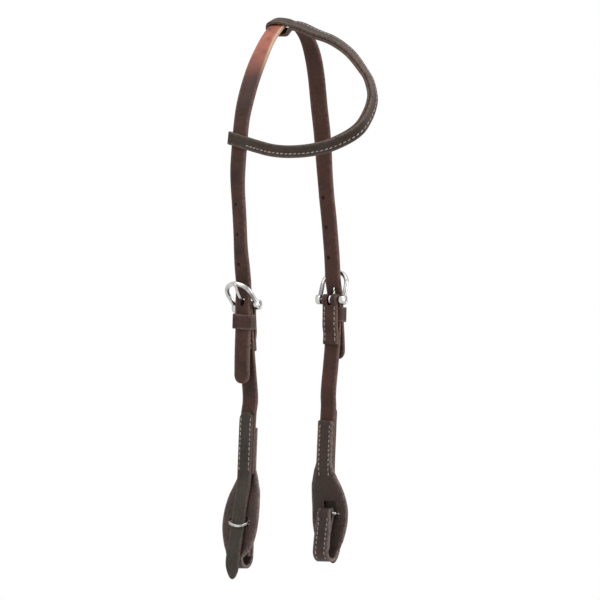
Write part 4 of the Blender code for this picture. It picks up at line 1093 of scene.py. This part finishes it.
def leatherFinish(name, tone):
    f = Finish(name)
    rim, flesh, seam, cut = (f.node("ShaderNodeAttribute", attribute_name=key).outputs["Fac"]
                             for key in ("rim", "flesh", "seam", "cut"))
    blotch, mottle = f.noise(tone["blotchScale"], 5, 0.62), f.noise(*hide["mottle"])
    streak = f.noise(*hide["streak"])
    pores, wrinkle = f.cells(hide["pores"]), f.cells(hide["wrinkle"], 'DISTANCE_TO_EDGE')

    colour = f.ramp(blotch, (0.32, tone["dark"]), (0.5, tone["body"]), (0.7, tone["red"]))
    spots = f.ramp(mottle, (0.3, 0.62), (0.62, (1.22, 1.2, 1.18)))
    colour = f.mix(hide["mottleShare"], colour, spots, 'MULTIPLY')
    lines = f.ramp(streak, (0.35, (0.86, 0.85, 0.84)), (0.65, 1.1))
    colour = f.mix(hide["streakShare"], colour, lines, 'MULTIPLY')
    # the flesh side is redder and rougher
    fleshy = f.times(f.ramp(flesh, (0.55, 0), (0.9, 1)), tone["fleshShare"])
    colour = f.mix(fleshy, colour, f.ramp(mottle, (0.3, tone["fleshDark"]), (0.7, tone["flesh"])))
    # worn, paler rims broken up by the grain
    worn = f.times(rim, f.ramp(mottle, (0.34, 0.15), (0.6, 1)))
    colour = f.mix(f.times(worn, tone["rimShare"]), colour, tone["rim"])
    # stitch grooves are painted darker
    colour = f.mix(f.times(seam, hide["seamShare"]), colour, tone["seam"])
    # painted highlight on the near side of the crown and along its edge
    if "topHighlight" in tone:
        colour = paintTopHighlight(f, rim, colour, tone["topHighlight"])
    # punched walls are painted dark: painted shade inside the holes and slots
    colour = f.mix(f.times(cut, hide["cutShadeShare"]), colour, tone["seam"])
    colour = f.mix(hide["poreShare"], colour, f.ramp(pores, (0, 0.55), (0.3, 1)), 'MULTIPLY')
    f.give("Base Color", colour)

    rough = f.ramp(mottle, (0.3, tone["smooth"]), (0.7, tone["rough"]))
    f.give("Roughness", f.combine('ADD', rough, f.times(fleshy, hide["fleshRough"]), clamp=True))
    f.give("Specular IOR Level", tone["specular"])
    height = f.combine('ADD', f.times(f.ramp(pores, (0, 0), (0.35, 1)), hide["poreHeight"]),
                       f.times(f.ramp(wrinkle, (0, 0), (0.16, 1)), hide["wrinkleHeight"]),
                       f.times(mottle, hide["mottleHeight"]), f.times(streak, hide["streakHeight"]))
    f.bump(height, tone["bump"], hide["relief"])
    return f.material


# seam is the dark colour of the stitch grooves and of the painted shade in punched walls
strapTone = {
    "dark": (0.030, 0.0145, 0.0105), "body": (0.050, 0.0225, 0.0165), "red": (0.076, 0.029, 0.021),
    "flesh": (0.088, 0.038, 0.028), "fleshDark": (0.044, 0.019, 0.0135), "fleshShare": 0.6,
    "rim": (0.2, 0.125, 0.1), "rimShare": 0.6, "seam": (0.012, 0.007, 0.005),
    "blotchScale": 48, "smooth": 0.42, "rough": 0.62, "bump": 0.42, "specular": 0.22,
}
# the warm tan zone and the pale cream edge are painted highlights
crownHighlightTone = dict(strapTone, topHighlight={
    "height": (-0.054, -0.014), "near": (-0.010, -0.018), "share": 0.92, "tan": (0.41, 0.14, 0.097),
    "patches": (90, 3, 0.5), "patchShare": (0.16, 0.54), "front": (0.003, 0.0065),
    "edgeHeight": (-0.054, -0.016), "edgeShare": 0.8, "edgeHighlight": (0.6, 0.43, 0.3)})
tabTone = dict(strapTone, dark=(0.028, 0.0235, 0.018), body=(0.041, 0.034, 0.027), red=(0.052, 0.039, 0.03),
               flesh=(0.06, 0.045, 0.035), fleshDark=(0.035, 0.028, 0.021), rimShare=0.3)
darkTone = dict(strapTone, dark=(0.030, 0.022, 0.019), body=(0.046, 0.0305, 0.0265),
                red=(0.075, 0.036, 0.031), flesh=(0.066, 0.042, 0.034), fleshDark=(0.036, 0.024, 0.019),
                rim=(0.27, 0.2, 0.18), rimShare=0.65)
earTone = dict(strapTone, dark=(0.027, 0.0195, 0.0155), body=(0.041, 0.0275, 0.0215),
               red=(0.06, 0.033, 0.025), rim=(0.2, 0.15, 0.12), rimShare=0.5)
keeperTone = dict(strapTone, dark=(0.028, 0.0145, 0.011), body=(0.045, 0.0215, 0.0165),
                  red=(0.066, 0.028, 0.021))
liningTone = dict(strapTone, body=(0.048, 0.026, 0.0195), red=(0.058, 0.03, 0.022),
                  flesh=(0.06, 0.033, 0.025), rim=(0.15, 0.105, 0.085), smooth=0.48, rough=0.66)


waxedThread = {
    "strands": 900, "twist": 1.5, "dirt": (260, 4, 0.6), "soiled": (0.17, 0.15, 0.125),
    "clean": (0.43, 0.4, 0.355), "strandShade": (0.72, 0.7, 0.68), "rough": 0.62, "bump": 0.5, "relief": 0.00012,
}
brightSteel = {
    "clouds": (120, 2, 0.4), "fine": (1900, 3, 0.7), "dull": (0.24, 0.235, 0.225),
    "bright": (0.58, 0.575, 0.56), "smooth": 0.14, "rough": 0.32, "bump": 0.12, "relief": 0.00015,
}


def threadFinish(t):
    f = Finish("waxedThread")
    strands = f.node("ShaderNodeTexWave", Vector=f.where, Scale=t["strands"], Distortion=t["twist"], Detail=2,
                     bands_direction='DIAGONAL').outputs["Fac"]
    tone = f.ramp(f.noise(*t["dirt"]), (0.3, t["soiled"]), (0.62, t["clean"]))
    # the furrows between strands are painted darker: painted shade
    f.give("Base Color", f.mix(1.0, tone, f.ramp(strands, (0, t["strandShade"]), (0.6, 1)), 'MULTIPLY'))
    f.give("Roughness", t["rough"])
    f.bump(strands, t["bump"], t["relief"])
    return f.material


def steelFinish(s):
    f = Finish("brightSteel")
    clouds = f.noise(*s["clouds"])
    f.give("Metallic", 1.0)
    f.give("Base Color", f.ramp(clouds, (0.36, s["dull"]), (0.6, s["bright"])))
    f.give("Roughness", f.ramp(f.noise(*s["fine"]), (0.3, s["smooth"]), (0.75, s["rough"])))
    f.bump(clouds, s["bump"], s["relief"])
    return f.material


finish = {
    "strap": leatherFinish("oiledStrapLeather", strapTone),
    "crown": leatherFinish("crownLeatherWithPaintedHighlight", crownHighlightTone),
    "tab": leatherFinish("oiledTabLeather", tabTone),
    "ear": leatherFinish("oiledEarLeather", earTone),
    "dark": leatherFinish("oiledDarkLeather", darkTone),
    "keeper": leatherFinish("oiledKeeperLeather", keeperTone),
    "lining": leatherFinish("liningLeather", liningTone),
    "thread": threadFinish(waxedThread),
    "steel": steelFinish(brightSteel),
}


def place(piece, look, body, slot, *nodes):
    piece.data.materials.clear()
    piece.data.materials.append(finish[look])
    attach(piece, body)
    if nodes:
        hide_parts(*nodes)


place(makeCrown(), "crown", "headstall", "strap_leather", "crown_strap")
print("stage: crown strap")

band, lining, earThread = makeEar()
place(band, "ear", "ear_loop", "strap_leather", "ear_band")
place(lining, "lining", "ear_loop", "lining_leather", "ear_lining")
place(earThread, "thread", "ear_loop", None)
print("stage: ear loop")

for side in (near, far):
    name = side["name"]
    strapPiece, strapThread = makeCheek(side)
    place(strapPiece, "strap", "headstall", "strap_leather", name + "_cheek_strap")
    place(strapThread, "thread", "headstall", None)
    place(makeKeeper(side), "keeper", "headstall", "dark_leather", name + "_keeper")
    hoop, barParts, tongue = makeBuckle(side)
    place(hoop, "steel", name + "_buckle", "bright_steel", name + "_buckle_frame")
    for piece in barParts:
        place(piece, "steel", name + "_buckle", "bright_steel")
    place(tongue, "steel", name + "_tongue", "bright_steel", name + "_buckle_tongue")
    bitPiece, bitThread = makeBitStrap(side)
    place(bitPiece, "dark", "headstall", "dark_leather", name + "_bit_strap")
    place(bitThread, "thread", "headstall", None)
    tabPiece, tabThread = makeTab(side)
    place(tabPiece, "tab", "headstall", "strap_leather", name + "_locking_tab")
    place(tabThread, "thread", "headstall", None)
    place(makeRing(side), "steel", name + "_ring", "bright_steel", name + "_lock_ring")
    print("stage:", name, "cheek")

studio = {
    "azimuth": 32, "elevation": 1.5, "field": 0.561, "away": 4.0, "centre": (0.0114, -0.257),
    "floor": -0.575, "floorSize": 6, "floorGrey": (0.8, 0.8, 0.8), "fill": 0.4,
}


def seenAsWhite(tree, lit, seen, out):
    # camera, glossy and transmitted rays get what is seen, all others what lights or is lit
    path = tree.nodes.new("ShaderNodeLightPath")
    share = path.outputs["Is Camera Ray"]
    for ray in ("Is Glossy Ray", "Is Transmission Ray"):
        either = tree.nodes.new("ShaderNodeMath")
        either.operation = 'MAXIMUM'
        tree.links.new(share, either.inputs[0])
        tree.links.new(path.outputs[ray], either.inputs[1])
        share = either.outputs[0]
    mix = tree.nodes.new("ShaderNodeMixShader")
    for socket, source in zip(mix.inputs, (share, lit.outputs[0], seen.outputs[0])):
        tree.links.new(source, socket)
    tree.links.new(mix.outputs[0], out.inputs[0])


bm = bmesh.new()
bmesh.ops.create_grid(bm, x_segments=24, y_segments=24, size=studio["floorSize"])
floor = meshPiece("studioFloor", bm)
floor.location = (0, 0, studio["floor"])
floorLook = bpy.data.materials.new("paleFloor")
floorLook.use_nodes = True
tree = floorLook.node_tree
tree.nodes.clear()
pale = tree.nodes.new("ShaderNodeBsdfDiffuse")
pale.inputs["Color"].default_value = (*studio["floorGrey"], 1)
seenAsWhite(tree, pale, tree.nodes.new("ShaderNodeEmission"), tree.nodes.new("ShaderNodeOutputMaterial"))
floor.data.materials.append(floorLook)

world = bpy.data.worlds.new("studioWorld")
bpy.context.scene.world = world
world.use_nodes = True
tree = world.node_tree
tree.nodes.clear()
fill, seen = (tree.nodes.new("ShaderNodeBackground") for _ in range(2))
for node, strength in ((fill, studio["fill"]), (seen, 1.0)):
    node.inputs["Color"].default_value = (1, 1, 1, 1)
    node.inputs["Strength"].default_value = strength
seenAsWhite(tree, fill, seen, tree.nodes.new("ShaderNodeOutputWorld"))


def softLight(name, place, target, size, power):
    lamp = bpy.data.lights.new(name, 'AREA')
    lamp.shape = 'RECTANGLE'
    lamp.size, lamp.size_y = size
    lamp.energy = power
    thing = bpy.data.objects.new(name, lamp)
    thing.location = place
    thing.rotation_mode = 'QUATERNION'
    thing.rotation_quaternion = (Vector(target) - Vector(place)).to_track_quat('-Z', 'Y')
    bpy.context.scene.collection.objects.link(thing)


azimuth, elevation = math.radians(studio["azimuth"]), math.radians(studio["elevation"])
back = Vector((math.sin(azimuth) * math.cos(elevation), -math.cos(azimuth) * math.cos(elevation),
               math.sin(elevation)))
right = Vector((math.cos(azimuth), math.sin(azimuth), 0))
softLight("topSoftbox", (0.15, -0.35, 1.0), (0, 0, -0.15), (1.3, 1.3), 12)
softLight("frontSoftbox", back * 1.9 + right * -0.9 + Vector((0, 0, 0.35)), (0, 0, -0.25), (1.4, 1.8), 13)
softLight("sideSoftbox", back * 0.15 + right * 1.7 + Vector((0, 0, 0.25)), (0, 0, -0.25), (0.8, 1.6), 18)

lens = bpy.data.cameras.new("studioCamera")
lens.type = 'ORTHO'
lens.ortho_scale = studio["field"]
lens.clip_end = 60
camera = bpy.data.objects.new("studioCamera", lens)
bpy.context.scene.collection.objects.link(camera)
aim = right * studio["centre"][0] + Vector((0, 0, studio["centre"][1]))
camera.location = aim + back * studio["away"]
camera.rotation_mode = 'QUATERNION'
camera.rotation_quaternion = back.to_track_quat('Z', 'Y')
bpy.context.scene.camera = camera
bpy.context.scene.view_settings.view_transform = 'Standard'
print("stage: studio")
